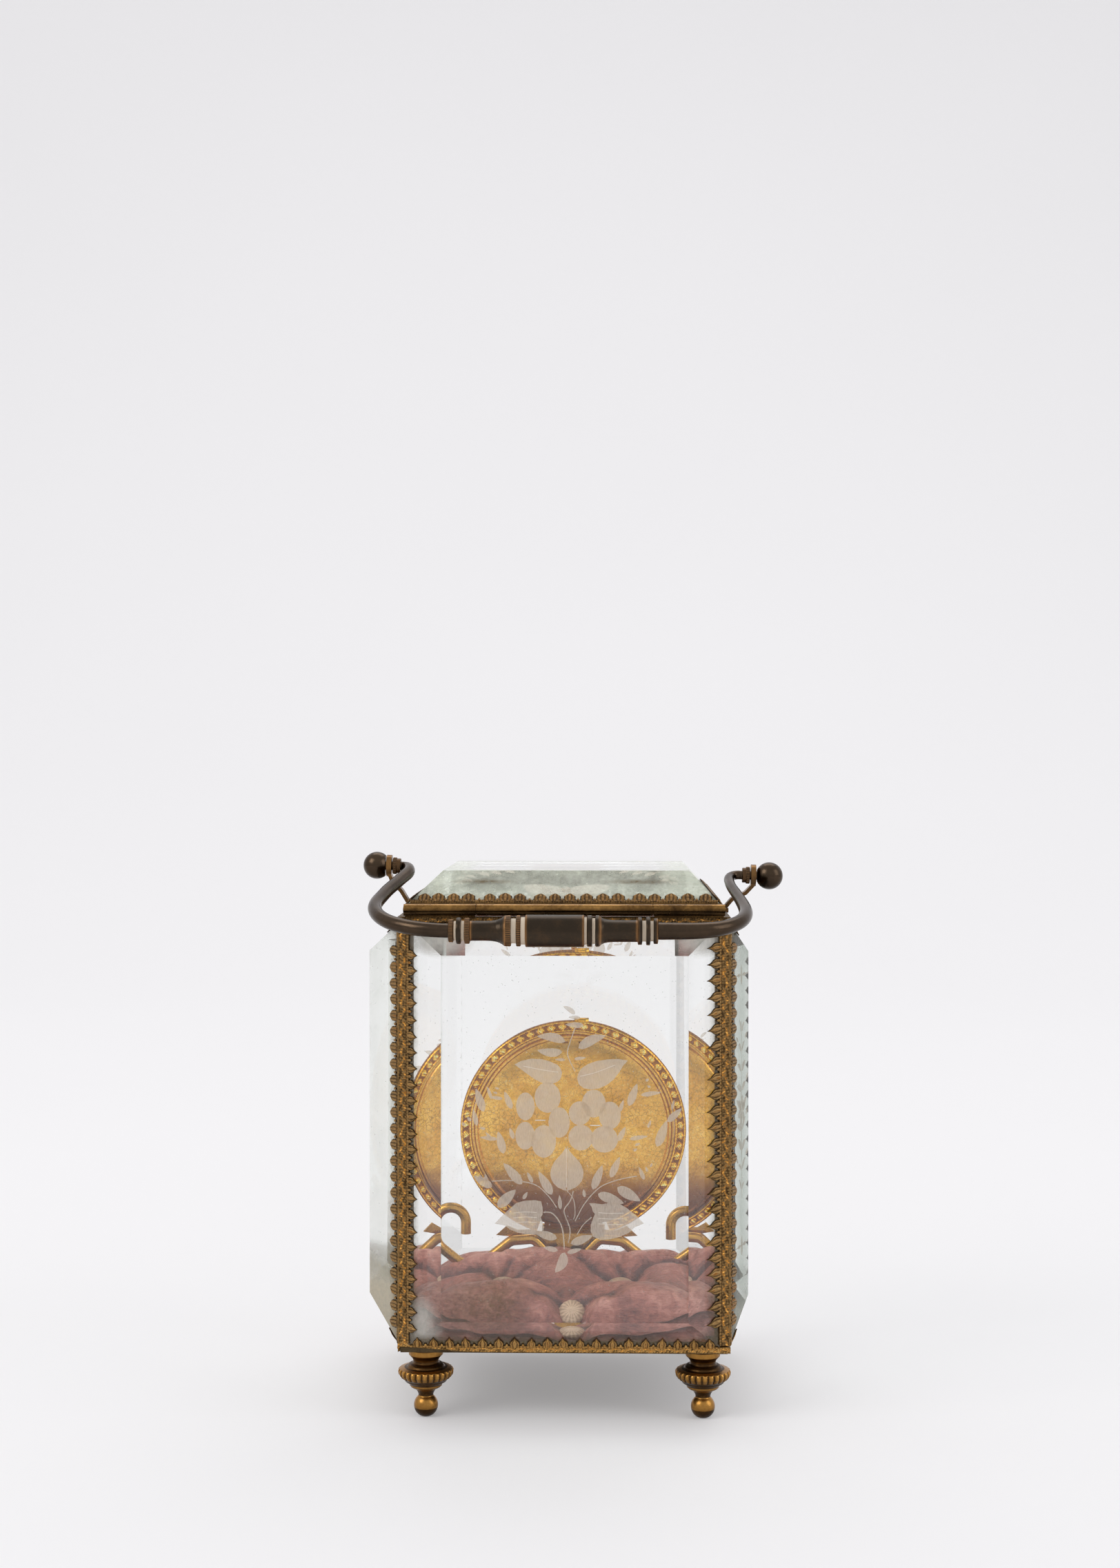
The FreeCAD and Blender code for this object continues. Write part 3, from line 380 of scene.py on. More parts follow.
def metal(name, high, mid, low, rough=(0.28, 0.5), relief=True, grain=0.25, patch=0.45, stops=None, extra=None, under=1.0, sharp=0.9):
    """Old gilt or bronzed metal: colour by the relief's height, blotches of tarnish, fine grain; with under below 1,
    painted shade darkens the faces that turn downwards.
    """
    m, nt = new_mat(name)
    t = NT(nt)
    co = t.n("ShaderNodeTexCoord").outputs["Object"]
    big = t.noise(co, 180, 5, 0.6, 0.4)
    fine = t.noise(co, 1500, 3, 0.6)
    if relief:
        at = t.n("ShaderNodeAttribute", attribute_name="relief").outputs["Fac"]
    else:
        at = t.math("MULTIPLY_ADD", t.noise(co, 60, 3, 0.5), 0.5, 0.32)
    f = t.math("MULTIPLY_ADD", t.math("SUBTRACT", big, 0.5), patch * 2, at)
    f = t.math("MULTIPLY_ADD", t.math("SUBTRACT", fine, 0.5), grain, f, clamp=True)
    col = t.ramp(f, stops or [(0.0, low), (0.42, mid), (0.85, high), (1.0, tuple(min(1, c * 1.12) for c in high))])
    if extra:
        col = extra(t, co, col)
    # painted shade: the colour goes towards near black as the normal turns down, by up to 1 - under; sharp sets how
    # steeply
    if under < 1:
        g = t.n("ShaderNodeSeparateXYZ")
        t.link(t.n("ShaderNodeNewGeometry").outputs["Normal"], g.inputs[0])
        k = t.math("MULTIPLY_ADD", g.outputs[2], sharp, 0.62 if sharp < 1 else 0.30, clamp=True)
        k = t.math("MULTIPLY_ADD", k, 1 - under, under)
        col = t.mix(k, (0.010, 0.007, 0.005), col)
    p = t.n("ShaderNodeBsdfPrincipled")
    p.inputs["Metallic"].default_value = 1.0
    t.link(col, p.inputs["Base Color"])
    r = t.math("MULTIPLY_ADD", f, rough[0] - rough[1], rough[1], clamp=True)
    t.link(r, p.inputs["Roughness"])
    nrm = t.bump(t.math("ADD", t.math("MULTIPLY", fine, 0.6), t.math("MULTIPLY", big, 0.8)), 0.35, 0.00012)
    t.link(nrm, p.inputs["Normal"])
    o = t.n("ShaderNodeOutputMaterial")
    t.link(p.outputs[0], o.inputs[0])
    return m


def glass_mat(name, axes, tint=(0.60, 0.66, 0.58), start=0.74, film=0.05, edge_film=0.22, dirt=None, dust_col=(0.62, 0.62, 0.57), foot=None, haze=()):
    """Old bevelled glass: clear in the middle, greener and dustier towards its edges, grime where it meets the metal.
    axes are the two directions the panel spreads in."""
    m, nt = new_mat(name)
    t = NT(nt)
    tc = t.n("ShaderNodeTexCoord")
    co = tc.outputs["Object"]
    sp = t.n("ShaderNodeSeparateXYZ")
    t.link(tc.outputs["Generated"], sp.inputs[0])
    d = [t.math("ABSOLUTE", t.math("MULTIPLY_ADD", sp.outputs[a], 2.0, -1.0)) for a in axes]
    far = t.math("MAXIMUM", d[0], d[1])
    cloud = t.noise(co, 130, 5, 0.62, 0.5)
    fine = t.noise(co, 900, 4, 0.65)
    e1 = t.math("MULTIPLY_ADD", t.math("SUBTRACT", cloud, 0.5), 0.10, far)
    edge = t.ramp(e1, [(start, (0, 0, 0)), (min(0.97, start + 0.12), (1, 1, 1))])
    rim = t.ramp(t.math("MULTIPLY_ADD", t.math("SUBTRACT", cloud, 0.5), 0.05, far), [(0.925, (0, 0, 0)), (0.975, (1, 1, 1))])
    base = t.mix(edge, (0.985, 0.992, 0.986), tint)
    p = t.n("ShaderNodeBsdfPrincipled")
    t.link(base, p.inputs["Base Color"])
    p.inputs["Roughness"].default_value = 0.0
    p.inputs["IOR"].default_value = 1.535
    p.inputs["Transmission Weight"].default_value = 1.0
    # dust: specks and a cloudy film
    vo = t.n("ShaderNodeTexVoronoi")
    vo.inputs["Scale"].default_value = 620
    t.link(co, vo.inputs["Vector"])
    speck = t.math("MULTIPLY", t.math("LESS_THAN", vo.outputs["Distance"], 0.10), t.math("GREATER_THAN", cloud, 0.50))
    fac = t.math("MULTIPLY", t.math("MULTIPLY_ADD", cloud, 1.1, -0.15, clamp=True), t.math("MULTIPLY_ADD", edge, edge_film, film))
    fac = t.math("MULTIPLY", fac, t.math("MULTIPLY_ADD", fine, 1.2, 0.4))
    fac = t.math("MULTIPLY_ADD", speck, 0.30, fac, clamp=True)
    dust = t.n("ShaderNodeBsdfDiffuse")
    dust.inputs["Color"].default_value = (*dust_col, 1)
    for (c, r, amount) in haze:
        vm = t.n("ShaderNodeVectorMath", operation="SUBTRACT")
        t.link(tc.outputs["Generated"], vm.inputs[0])
        vm.inputs[1].default_value = c
        v2 = t.n("ShaderNodeVectorMath", operation="MULTIPLY")
        t.link(vm.outputs[0], v2.inputs[0])
        v2.inputs[1].default_value = r
        ln = t.n("ShaderNodeVectorMath", operation="LENGTH")
        t.link(v2.outputs[0], ln.inputs[0])
        wisp = t.math("MULTIPLY_ADD", ln.outputs["Value"], -1.6, 1.6, clamp=True)
        wisp = t.math("MULTIPLY", wisp, t.math("MULTIPLY_ADD", cloud, 1.6, -0.10, clamp=True))
        fac = t.math("MAXIMUM", fac, t.math("MULTIPLY", wisp, amount))
    # foot: a pale brown film along the bottom of the panel, painted light standing in for the lit interior that the
    # lower facet shows
    if foot:
        up = t.math("MULTIPLY_ADD", t.math("SUBTRACT", cloud, 0.5), 0.05, sp.outputs[2])
        low = t.ramp(up, [(foot[0], (1, 1, 1)), (foot[0] + 0.05, (0, 0, 0))], "EASE")
        low = t.math("MULTIPLY", low, t.math("MULTIPLY_ADD", fine, 0.5, foot[1] - 0.25, clamp=True))
        fac = t.math("MAXIMUM", fac, low)
        t.link(t.mix(low, (*dust_col, 1), (*foot[2], 1)), dust.inputs["Color"])
    mx = t.n("ShaderNodeMixShader")
    t.link(fac, mx.inputs[0])
    t.link(p.outputs[0], mx.inputs[1])
    t.link(dust.outputs[0], mx.inputs[2])
    out = mx.outputs[0]
    # grime along the metal
    g = t.n("ShaderNodeBsdfDiffuse")
    g.inputs["Color"].default_value = (0.135, 0.095, 0.048, 1)
    gm = t.n("ShaderNodeMixShader")
    gf = t.math("MULTIPLY", rim, t.math("MULTIPLY_ADD", fine, 1.3, -0.10, clamp=True), clamp=True)
    if dirt:
        for (c, r, amount) in dirt:
            vm = t.n("ShaderNodeVectorMath", operation="SUBTRACT")
            t.link(tc.outputs["Generated"], vm.inputs[0])
            vm.inputs[1].default_value = c
            v2 = t.n("ShaderNodeVectorMath", operation="MULTIPLY")
            t.link(vm.outputs[0], v2.inputs[0])
            v2.inputs[1].default_value = r
            ln = t.n("ShaderNodeVectorMath", operation="LENGTH")
            t.link(v2.outputs[0], ln.inputs[0])
            near = t.math("MULTIPLY_ADD", ln.outputs["Value"], -1.0, 1.0, clamp=True)
            spot = t.math("MULTIPLY", near, t.math("MULTIPLY_ADD", fine, 2.2, -0.55, clamp=True))
            gf = t.math("MULTIPLY_ADD", spot, amount, gf, clamp=True)
    t.link(t.math("MULTIPLY", gf, 0.85), gm.inputs[0])
    t.link(out, gm.inputs[1])
    t.link(g.outputs[0], gm.inputs[2])
    out = gm.outputs[0]
    tr = t.n("ShaderNodeBsdfTransparent")
    tr.inputs[0].default_value = (0.93, 0.95, 0.94, 1)
    lp = t.n("ShaderNodeLightPath")
    mx = t.n("ShaderNodeMixShader")
    t.link(lp.outputs["Is Shadow Ray"], mx.inputs[0])
    t.link(out, mx.inputs[1])
    t.link(tr.outputs[0], mx.inputs[2])
    o = t.n("ShaderNodeOutputMaterial")
    t.link(mx.outputs[0], o.inputs[0])
    return m


def frost_mat(name="engraving", dens=0.42, col=(0.84, 0.76, 0.67)):
    """Wheel-cut frosting: fine parallel strokes, partly see-through."""
    m, nt = new_mat(name)
    t = NT(nt)
    co = t.n("ShaderNodeTexCoord").outputs["Object"]
    st = t.n("ShaderNodeMapping")
    st.inputs["Scale"].default_value = (5200, 5200, 900)
    st.inputs["Rotation"].default_value = (0.25, 0.25, 0.25)
    t.link(co, st.inputs["Vector"])
    strokes = t.noise(st.outputs[0], 1.0, 3, 0.6)
    blot = t.noise(co, 420, 4, 0.6)
    fac = t.math("MULTIPLY_ADD", t.math("SUBTRACT", strokes, 0.5), 0.42, dens)
    fac = t.math("MULTIPLY_ADD", t.math("SUBTRACT", blot, 0.5), 0.22, fac, clamp=True)
    d = t.n("ShaderNodeBsdfDiffuse")
    d.inputs["Color"].default_value = (*col, 1)
    tl = t.n("ShaderNodeBsdfTranslucent")
    tl.inputs["Color"].default_value = (*col, 1)
    m2 = t.n("ShaderNodeMixShader")
    m2.inputs[0].default_value = 0.50
    t.link(d.outputs[0], m2.inputs[1])
    t.link(tl.outputs[0], m2.inputs[2])
    tr = t.n("ShaderNodeBsdfTransparent")
    mx = t.n("ShaderNodeMixShader")
    t.link(fac, mx.inputs[0])
    t.link(tr.outputs[0], mx.inputs[1])
    t.link(m2.outputs[0], mx.inputs[2])
    o = t.n("ShaderNodeOutputMaterial")
    t.link(mx.outputs[0], o.inputs[0])
    return m


def satin_mat(name, base, dark, light, weave=3000):
    m, nt = new_mat(name)
    t = NT(nt)
    co = t.n("ShaderNodeTexCoord").outputs["Object"]
    big = t.noise(co, 55, 5, 0.6, 0.6)
    mid = t.noise(co, 300, 4, 0.65, 0.8)
    mp = t.n("ShaderNodeMapping")
    mp.inputs["Scale"].default_value = (weave * 0.22, weave * 0.8, weave)
    mp.inputs["Rotation"].default_value = (0.0, 0.0, 0.5)
    t.link(co, mp.inputs["Vector"])
    thread = t.noise(mp.outputs[0], 1.0, 3, 0.6, 0.4)
    at = t.n("ShaderNodeAttribute", attribute_name="relief").outputs["Fac"]
    f = t.math("MULTIPLY_ADD", t.math("SUBTRACT", big, 0.5), 0.9, at)
    f = t.math("MULTIPLY_ADD", t.math("SUBTRACT", mid, 0.5), 0.9, f)
    f = t.math("MULTIPLY_ADD", t.math("SUBTRACT", thread, 0.5), 0.55, f, clamp=True)
    # the relief value paints the fabric's shading here: darkest in the creases, lightest on the crests
    col = t.ramp(f, [(0.02, tuple(c * 0.55 for c in dark)), (0.22, dark), (0.58, base), (0.98, light)])
    p = t.n("ShaderNodeBsdfPrincipled")
    t.link(col, p.inputs["Base Color"])
    p.inputs["Roughness"].default_value = 0.42
    p.inputs["Sheen Weight"].default_value = 0.25
    p.inputs["Sheen Roughness"].default_value = 0.4
    p.inputs["Sheen Tint"].default_value = (0.95, 0.56, 0.46, 1)
    p.inputs["Specular IOR Level"].default_value = 0.55
    h = t.math("ADD", t.math("MULTIPLY", thread, 0.5), t.math("MULTIPLY", mid, 1.4))
    h = t.math("MULTIPLY_ADD", big, 2.2, h)
    t.link(t.bump(h, 0.9, 0.0006), p.inputs["Normal"])
    o = t.n("ShaderNodeOutputMaterial")
    t.link(p.outputs[0], o.inputs[0])
    return m


GILT = metal("gilt_relief", None, None, None, (0.22, 0.50), True, 0.42, 0.20,
             [(0.0, (0.016, 0.009, 0.005)), (0.14, (0.060, 0.034, 0.015)), (0.32, (0.190, 0.115, 0.046)), (0.46, (0.34, 0.205, 0.080)),
              (0.54, (0.24, 0.100, 0.024)), (0.76, (0.66, 0.300, 0.060)), (1.0, (1.0, 0.58, 0.17))])
# a brighter copy of the gilt for the bottom rails: painted light on their teeth, which tilt downwards and would
# otherwise render dim
GILT_LOWER_LIT = metal("gilt_lower_rail_lit", None, None, None, (0.22, 0.50), True, 0.42, 0.20,
                  [(0.0, (0.018, 0.010, 0.006)), (0.14, (0.085, 0.048, 0.018)), (0.32, (0.32, 0.180, 0.058)), (0.46, (0.62, 0.360, 0.115)),
                   (0.54, (0.26, 0.110, 0.028)), (0.76, (0.66, 0.300, 0.060)), (1.0, (1.0, 0.58, 0.17))])
GILT_LID = metal("gilt_lid_rail", None, None, None, (0.24, 0.50), True, 0.55, 0.30,
                 [(0.0, (0.014, 0.008, 0.005)), (0.16, (0.050, 0.027, 0.012)), (0.34, (0.125, 0.070, 0.026)), (0.50, (0.23, 0.125, 0.042)),
                  (0.62, (0.20, 0.085, 0.024)), (0.82, (0.42, 0.200, 0.050)), (1.0, (0.80, 0.46, 0.14))])
# under= on this material and on the plain gilt, stand, bracket and plain bronze below paints shade on their
# downward-facing faces
GILT_TURNED = metal("gilt_turned", None, None, None, (0.20, 0.44), True, 0.22, 0.22,
                    [(0.0, (0.018, 0.010, 0.006)), (0.20, (0.075, 0.038, 0.014)), (0.45, (0.26, 0.125, 0.032)), (0.75, (0.58, 0.295, 0.070)),
                     (1.0, (0.85, 0.50, 0.16))], under=0.40)
GILT_PLAIN = metal("gilt_plain", (0.52, 0.28, 0.08), (0.30, 0.150, 0.040), (0.07, 0.034, 0.014), (0.24, 0.5), False, 0.35, 0.5, under=0.6)
# the brightest yellow stops carry the beaded rim's painted glints
STAND = metal("stand_gilt_bright", None, None, None, (0.12, 0.40), True, 0.40, 0.26,
              [(0.0, (0.30, 0.105, 0.010)), (0.30, (0.52, 0.200, 0.014)), (0.55, (0.86, 0.40, 0.026)), (0.80, (1.0, 0.62, 0.060)), (1.0, (1.0, 0.86, 0.34))])
STAND_PLAIN = metal("stand_gilt_plain", (0.80, 0.45, 0.09), (0.48, 0.235, 0.042), (0.14, 0.062, 0.015), (0.16, 0.4), False, 0.3, 0.5, under=0.55)


def plate_crazing_and_painted_light(t, co, col):
    """Crazed, speckled leaf with painted glints and painted shade along the top of the dish's step; darker and redder
    below, a painted reflection of the cushion the sheet stands against.
    """
    wob = t.n("ShaderNodeVectorMath", operation="MULTIPLY_ADD")
    nz = t.n("ShaderNodeTexNoise")
    nz.inputs["Scale"].default_value = 260
    nz.inputs["Detail"].default_value = 3
    t.link(co, nz.inputs["Vector"])
    t.link(nz.outputs["Color"], wob.inputs[0])
    wob.inputs[1].default_value = (0.003, 0.003, 0.003)
    t.link(co, wob.inputs[2])
    cr = t.n("ShaderNodeTexVoronoi", feature="DISTANCE_TO_EDGE")
    cr.inputs["Scale"].default_value = 760
    t.link(wob.outputs[0], cr.inputs["Vector"])
    crack = t.ramp(cr.outputs["Distance"], [(0.0, (1, 1, 1)), (0.09, (0, 0, 0))])
    crack = t.math("MULTIPLY", crack, t.math("MULTIPLY_ADD", t.noise(co, 240, 4, 0.6), 2.4, -0.75, clamp=True))
    col = t.mix(t.math("MULTIPLY", crack, 0.75), col, (0.20, 0.085, 0.016))
    pit = t.math("MULTIPLY_ADD", t.noise(co, 1300, 3, 0.7), 5.0, -2.9, clamp=True)
    col = t.mix(t.math("MULTIPLY", pit, 0.75), col, (0.16, 0.070, 0.020))
    # painted glints: bright yellow flecks scattered over the leaf
    painted_glints = t.math("MULTIPLY_ADD", t.noise(co, 900, 3, 0.7, 0.5), 5.0, -2.85, clamp=True)
    col = t.mix(t.math("MULTIPLY", painted_glints, 0.7), col, (1.0, 0.80, 0.34))
    g = t.n("ShaderNodeSeparateXYZ")
    t.link(t.n("ShaderNodeTexCoord").outputs["Generated"], g.inputs[0])
    ax = t.math("MULTIPLY", t.math("SUBTRACT", g.outputs[0], 0.5), 2.0)
    az = t.math("MULTIPLY", t.math("SUBTRACT", g.outputs[2], 0.5), 2.0)
    rad = t.math("SQRT", t.math("ADD", t.math("MULTIPLY", ax, ax), t.math("MULTIPLY", az, az)))
    rad = t.math("MULTIPLY_ADD", t.math("SUBTRACT", t.noise(co, 150, 4, 0.6), 0.5), 0.10, rad)
    # painted shade: a darker olive ring along the upper part of the dish's step
    step = t.ramp(rad, [(0.70, (0, 0, 0)), (0.86, (1, 1, 1)), (0.93, (0.2, 0.2, 0.2))])
    step = t.math("MULTIPLY", step, t.math("MULTIPLY_ADD", az, 1.5, -0.30, clamp=True))
    col = t.mix(t.math("MULTIPLY", step, 0.62), col, (0.20, 0.125, 0.035))
    # painted reflection of the cushion: darker and redder towards the bottom of the sheet
    z = t.math("MULTIPLY_ADD", t.math("SUBTRACT", t.noise(co, 90, 4, 0.6), 0.5), 0.12, g.outputs[2])
    k = t.ramp(z, [(0.14, (0, 0, 0)), (0.36, (1, 1, 1))], "EASE")
    low = t.mix(t.noise(co, 260, 4, 0.65), (0.21, 0.080, 0.036), (0.36, 0.160, 0.072))
    return t.mix(k, low, col)


PLATE = metal("plate_gilt_sheet", (1.0, 0.60, 0.115), (0.80, 0.41, 0.060), (0.40, 0.18, 0.030), (0.22, 0.40), False, 0.9, 0.60, extra=plate_crazing_and_painted_light)
# near-black brass for the base plate: painted shade for the dark gap between the plate and the bottom rail
BASE_BRASS_SHADE = metal("brass_base_painted_shade", (0.12, 0.085, 0.045), (0.060, 0.042, 0.024), (0.02, 0.015, 0.010), (0.3, 0.6), False, 0.4, 0.6)
# under=0.14 and sharp=1.5 paint the hinge tube's lower half dark as shade and leave a light top
HINGE = metal("hinge_brass", (0.40, 0.215, 0.066), (0.17, 0.088, 0.028), (0.04, 0.022, 0.010), (0.16, 0.38), False, 0.6, 0.7, under=0.14, sharp=1.5)
BRACKET = metal("bracket_bronze", (0.32, 0.165, 0.055), (0.12, 0.066, 0.030), (0.035, 0.022, 0.014), (0.24, 0.42), False, 0.35, 0.5, under=0.5)
BRONZE = metal("dark_bronze", (0.34, 0.20, 0.09), (0.085, 0.055, 0.036), (0.030, 0.020, 0.014), (0.22, 0.36), True, 0.12, 0.12)
BRONZE_PLAIN = metal("dark_bronze_plain", (0.105, 0.070, 0.044), (0.056, 0.039, 0.027), (0.026, 0.018, 0.013), (0.18, 0.32), False, 0.25, 0.35, under=0.5)
GLASS_NEAR = glass_mat("bevelled_glass_back", (0, 2), tint=(0.90, 0.93, 0.89), start=0.90, film=0.008, edge_film=0.05, dust_col=(0.74, 0.72, 0.66),
                       dirt=[((0.27, 0.5, 0.115), (6.5, 0.0, 11.0), 0.75), ((0.13, 0.5, 0.09), (9.0, 0.0, 12.0), 0.35)],
                       haze=[((0.11, 0.5, 0.960), (9.0, 0.0, 26.0), 1.0), ((0.935, 0.5, 0.960), (11.0, 0.0, 26.0), 1.0), ((0.05, 0.5, 0.06), (14.0, 0.0, 14.0), 0.45)])
GLASS_FAR = glass_mat("bevelled_glass_front", (0, 2), tint=(0.92, 0.95, 0.92), start=0.90, film=0.010, edge_film=0.05)
# the foot films of both side panels are painted light for the lit interior seen through their lower facets
GLASS_SIDE = glass_mat("bevelled_glass_side", (1, 2), tint=(0.88, 0.91, 0.86), start=0.76, film=0.012, edge_film=0.16, foot=(0.12, 0.62, (0.50, 0.41, 0.28)))
GLASS_RIGHT = glass_mat("bevelled_glass_side_grey", (1, 2), tint=(0.56, 0.63, 0.57), start=0.72, film=0.02, edge_film=0.20, foot=(0.06, 0.30, (0.56, 0.54, 0.46)))
GLASS_LID = glass_mat("bevelled_glass_lid", (0, 1), tint=(0.93, 0.97, 0.93), start=0.60, film=0.04, edge_film=0.80, dust_col=(0.80, 0.83, 0.72),
                      # the two spots below are drawn out into long brown bands across the lid glass
                      dirt=[((0.24, 0.080, 0.5), (8.5, 90.0, 0.0), 1.5), ((0.745, 0.080, 0.5), (7.0, 90.0, 0.0), 1.5)],
                      haze=[((0.25, 0.135, 0.5), (7.5, 60.0, 0.0), 1.0), ((0.77, 0.135, 0.5), (7.5, 60.0, 0.0), 1.0)])
FROST = frost_mat()
SATIN = satin_mat("mauve_satin", (0.39, 0.128, 0.096), (0.125, 0.028, 0.021), (0.74, 0.36, 0.285))
BUTTON = satin_mat("button_satin", (0.62, 0.42, 0.28), (0.36, 0.22, 0.135), (0.84, 0.64, 0.46))
BOARD = satin_mat("board_cloth", (0.20, 0.10, 0.09), (0.08, 0.035, 0.03), (0.34, 0.20, 0.18))

nodes = frame["nodes"]


def dress(names, mat, sharp=35):
    for n in names:
        o = nodes[n]
        o.data.materials.clear()
        o.data.materials.append(mat)


rng = np.random.default_rng(7)

# ---------------------------------------------------------------- camera, light, floor
cam_data = bpy.data.cameras.new("camera")
cam = bpy.data.objects.new("camera", cam_data)
bpy.context.scene.collection.objects.link(cam)
cam_data.lens, cam_data.sensor_width, cam_data.sensor_fit = 50, 36, "AUTO"
cam_data.clip_start, cam_data.clip_end = 0.02, 50
cam.location = (np.array([10.75, -572.0, 162.2]) + SHIFT) * 0.001
hd, pt = math.radians(1.25), math.radians(-0.5)
look = Vector((-math.sin(hd) * math.cos(pt), math.cos(hd) * math.cos(pt), math.sin(pt)))
cam.rotation_mode = "QUATERNION"
cam.rotation_quaternion = look.to_track_quat("-Z", "Y")
bpy.context.scene.camera = cam


def stage_mat(name, col):
    m, nt = new_mat(name)
    t = NT(nt)
    co = t.n("ShaderNodeTexCoord").outputs["Object"]
    n = t.noise(co, 3.0, 2, 0.4)
    c = t.ramp(n, [(0.2, tuple(x * 0.985 for x in col)), (0.8, col)])
    p = t.n("ShaderNodeBsdfPrincipled")
    t.link(c, p.inputs["Base Color"])
    p.inputs["Roughness"].default_value = 0.75
    p.inputs["Specular IOR Level"].default_value = 0.2
    # the floor glows faintly: painted light that lifts the shadows on it and lights the case from below
    p.inputs["Emission Color"].default_value = (1.0, 0.992, 0.995, 1)
    p.inputs["Emission Strength"].default_value = 0.22
    o = t.n("ShaderNodeOutputMaterial")
    t.link(p.outputs[0], o.inputs[0])
    return m


# floor that sweeps up into a backdrop, as a paper roll does, open to the camera's side
prof = [(-3.0, 0.0), (0.9, 0.0)]
for a in range(5, 91, 5):
    r = 1.1
    prof.append((0.9 + r * math.sin(math.radians(a)), r - r * math.cos(math.radians(a))))
prof.append((2.0, 4.5))
me = bpy.data.meshes.new("floor")
vv, ff = [], []
for y, z in prof:
    vv += [(-5.0, y, z), (5.0, y, z)]
for i in range(len(prof) - 1):
    ff.append((2 * i, 2 * i + 1, 2 * i + 3, 2 * i + 2))
me.from_pydata(vv, [], ff)
me.polygons.foreach_set("use_smooth", np.ones(len(me.polygons), bool))
me.materials.append(stage_mat("glowing_floor_paper", (0.66, 0.652, 0.662)))
floor = bpy.data.objects.new("floor", me)
bpy.context.scene.collection.objects.link(floor)

world = bpy.data.worlds.new("studio")
bpy.context.scene.world = world
world.use_nodes = True
bg = world.node_tree.nodes["Background"]
bg.inputs[0].default_value = (0.98, 0.985, 1.0, 1)
bg.inputs[1].default_value = 0.72


def area(name, loc, target, size, power, col=(1, 1, 1)):
    d = bpy.data.lights.new(name, "AREA")
    d.shape, d.size, d.size_y, d.energy, d.color = "RECTANGLE", size[0], size[1], power, col
    o = bpy.data.objects.new(name, d)
    bpy.context.scene.collection.objects.link(o)
    o.location = loc
    o.rotation_mode = "QUATERNION"
    o.rotation_quaternion = (Vector(target) - Vector(loc)).to_track_quat("-Z", "Y")
    return o


area("key_left", (-1.3, -0.9, 1.3), (0, 0, 0.06), (1.0, 1.0), 9.5, (1.0, 0.99, 0.97))
area("fill_right", (1.5, -0.6, 0.9), (0, 0, 0.06), (0.9, 1.2), 5.0, (0.97, 0.98, 1.0))
area("top_back", (0.1, 0.9, 1.7), (0, 0.1, 0.0), (1.6, 0.9), 7)

scene = bpy.context.scene
scene.view_settings.view_transform = "Standard"
scene.view_settings.look = "None"
scene.cycles.max_bounces = 24
scene.cycles.transmission_bounces = 24
scene.cycles.transparent_max_bounces = 24
scene.cycles.glossy_bounces = 8
scene.cycles.diffuse_bounces = 4
scene.cycles.caustics_refractive = True
scene.cycles.caustics_reflective = True
scene.cycles.blur_glossy = 0.3
scene.cycles.sample_clamp_indirect = 6.0

# ---------------------------------------------------------------- carried-over pieces
dress(["glass_back"], GLASS_NEAR)
dress(["glass_front"], GLASS_FAR)
dress(["glass_left"], GLASS_SIDE)
dress(["glass_right"], GLASS_RIGHT)
dress(["lid_glass"], GLASS_LID)
dress(["base_plate"], BASE_BRASS_SHADE)
dress(["foot_nuts", "stand_nut", "hinge_pin", "lid_tab_rivets"], HINGE)
dress(["hinge_knuckle_left", "hinge_knuckle_right", "lid_knuckle"], HINGE)
dress(["lid_tab"], GILT_PLAIN)
dress(["handle_rod_left", "handle_rod_right", "handle_ball_left", "handle_ball_right"], BRONZE_PLAIN)
dress(["handle_bracket_left", "handle_bracket_right", "bracket_rivets"], BRACKET)
dress(["watch_plate"], PLATE)
dress(["stand_stem", "plate_clip", "stand_scroll_left", "stand_scroll_right", "watch_hook", "stand_leaf"], STAND_PLAIN)
dress(["cushion_board"], BOARD)

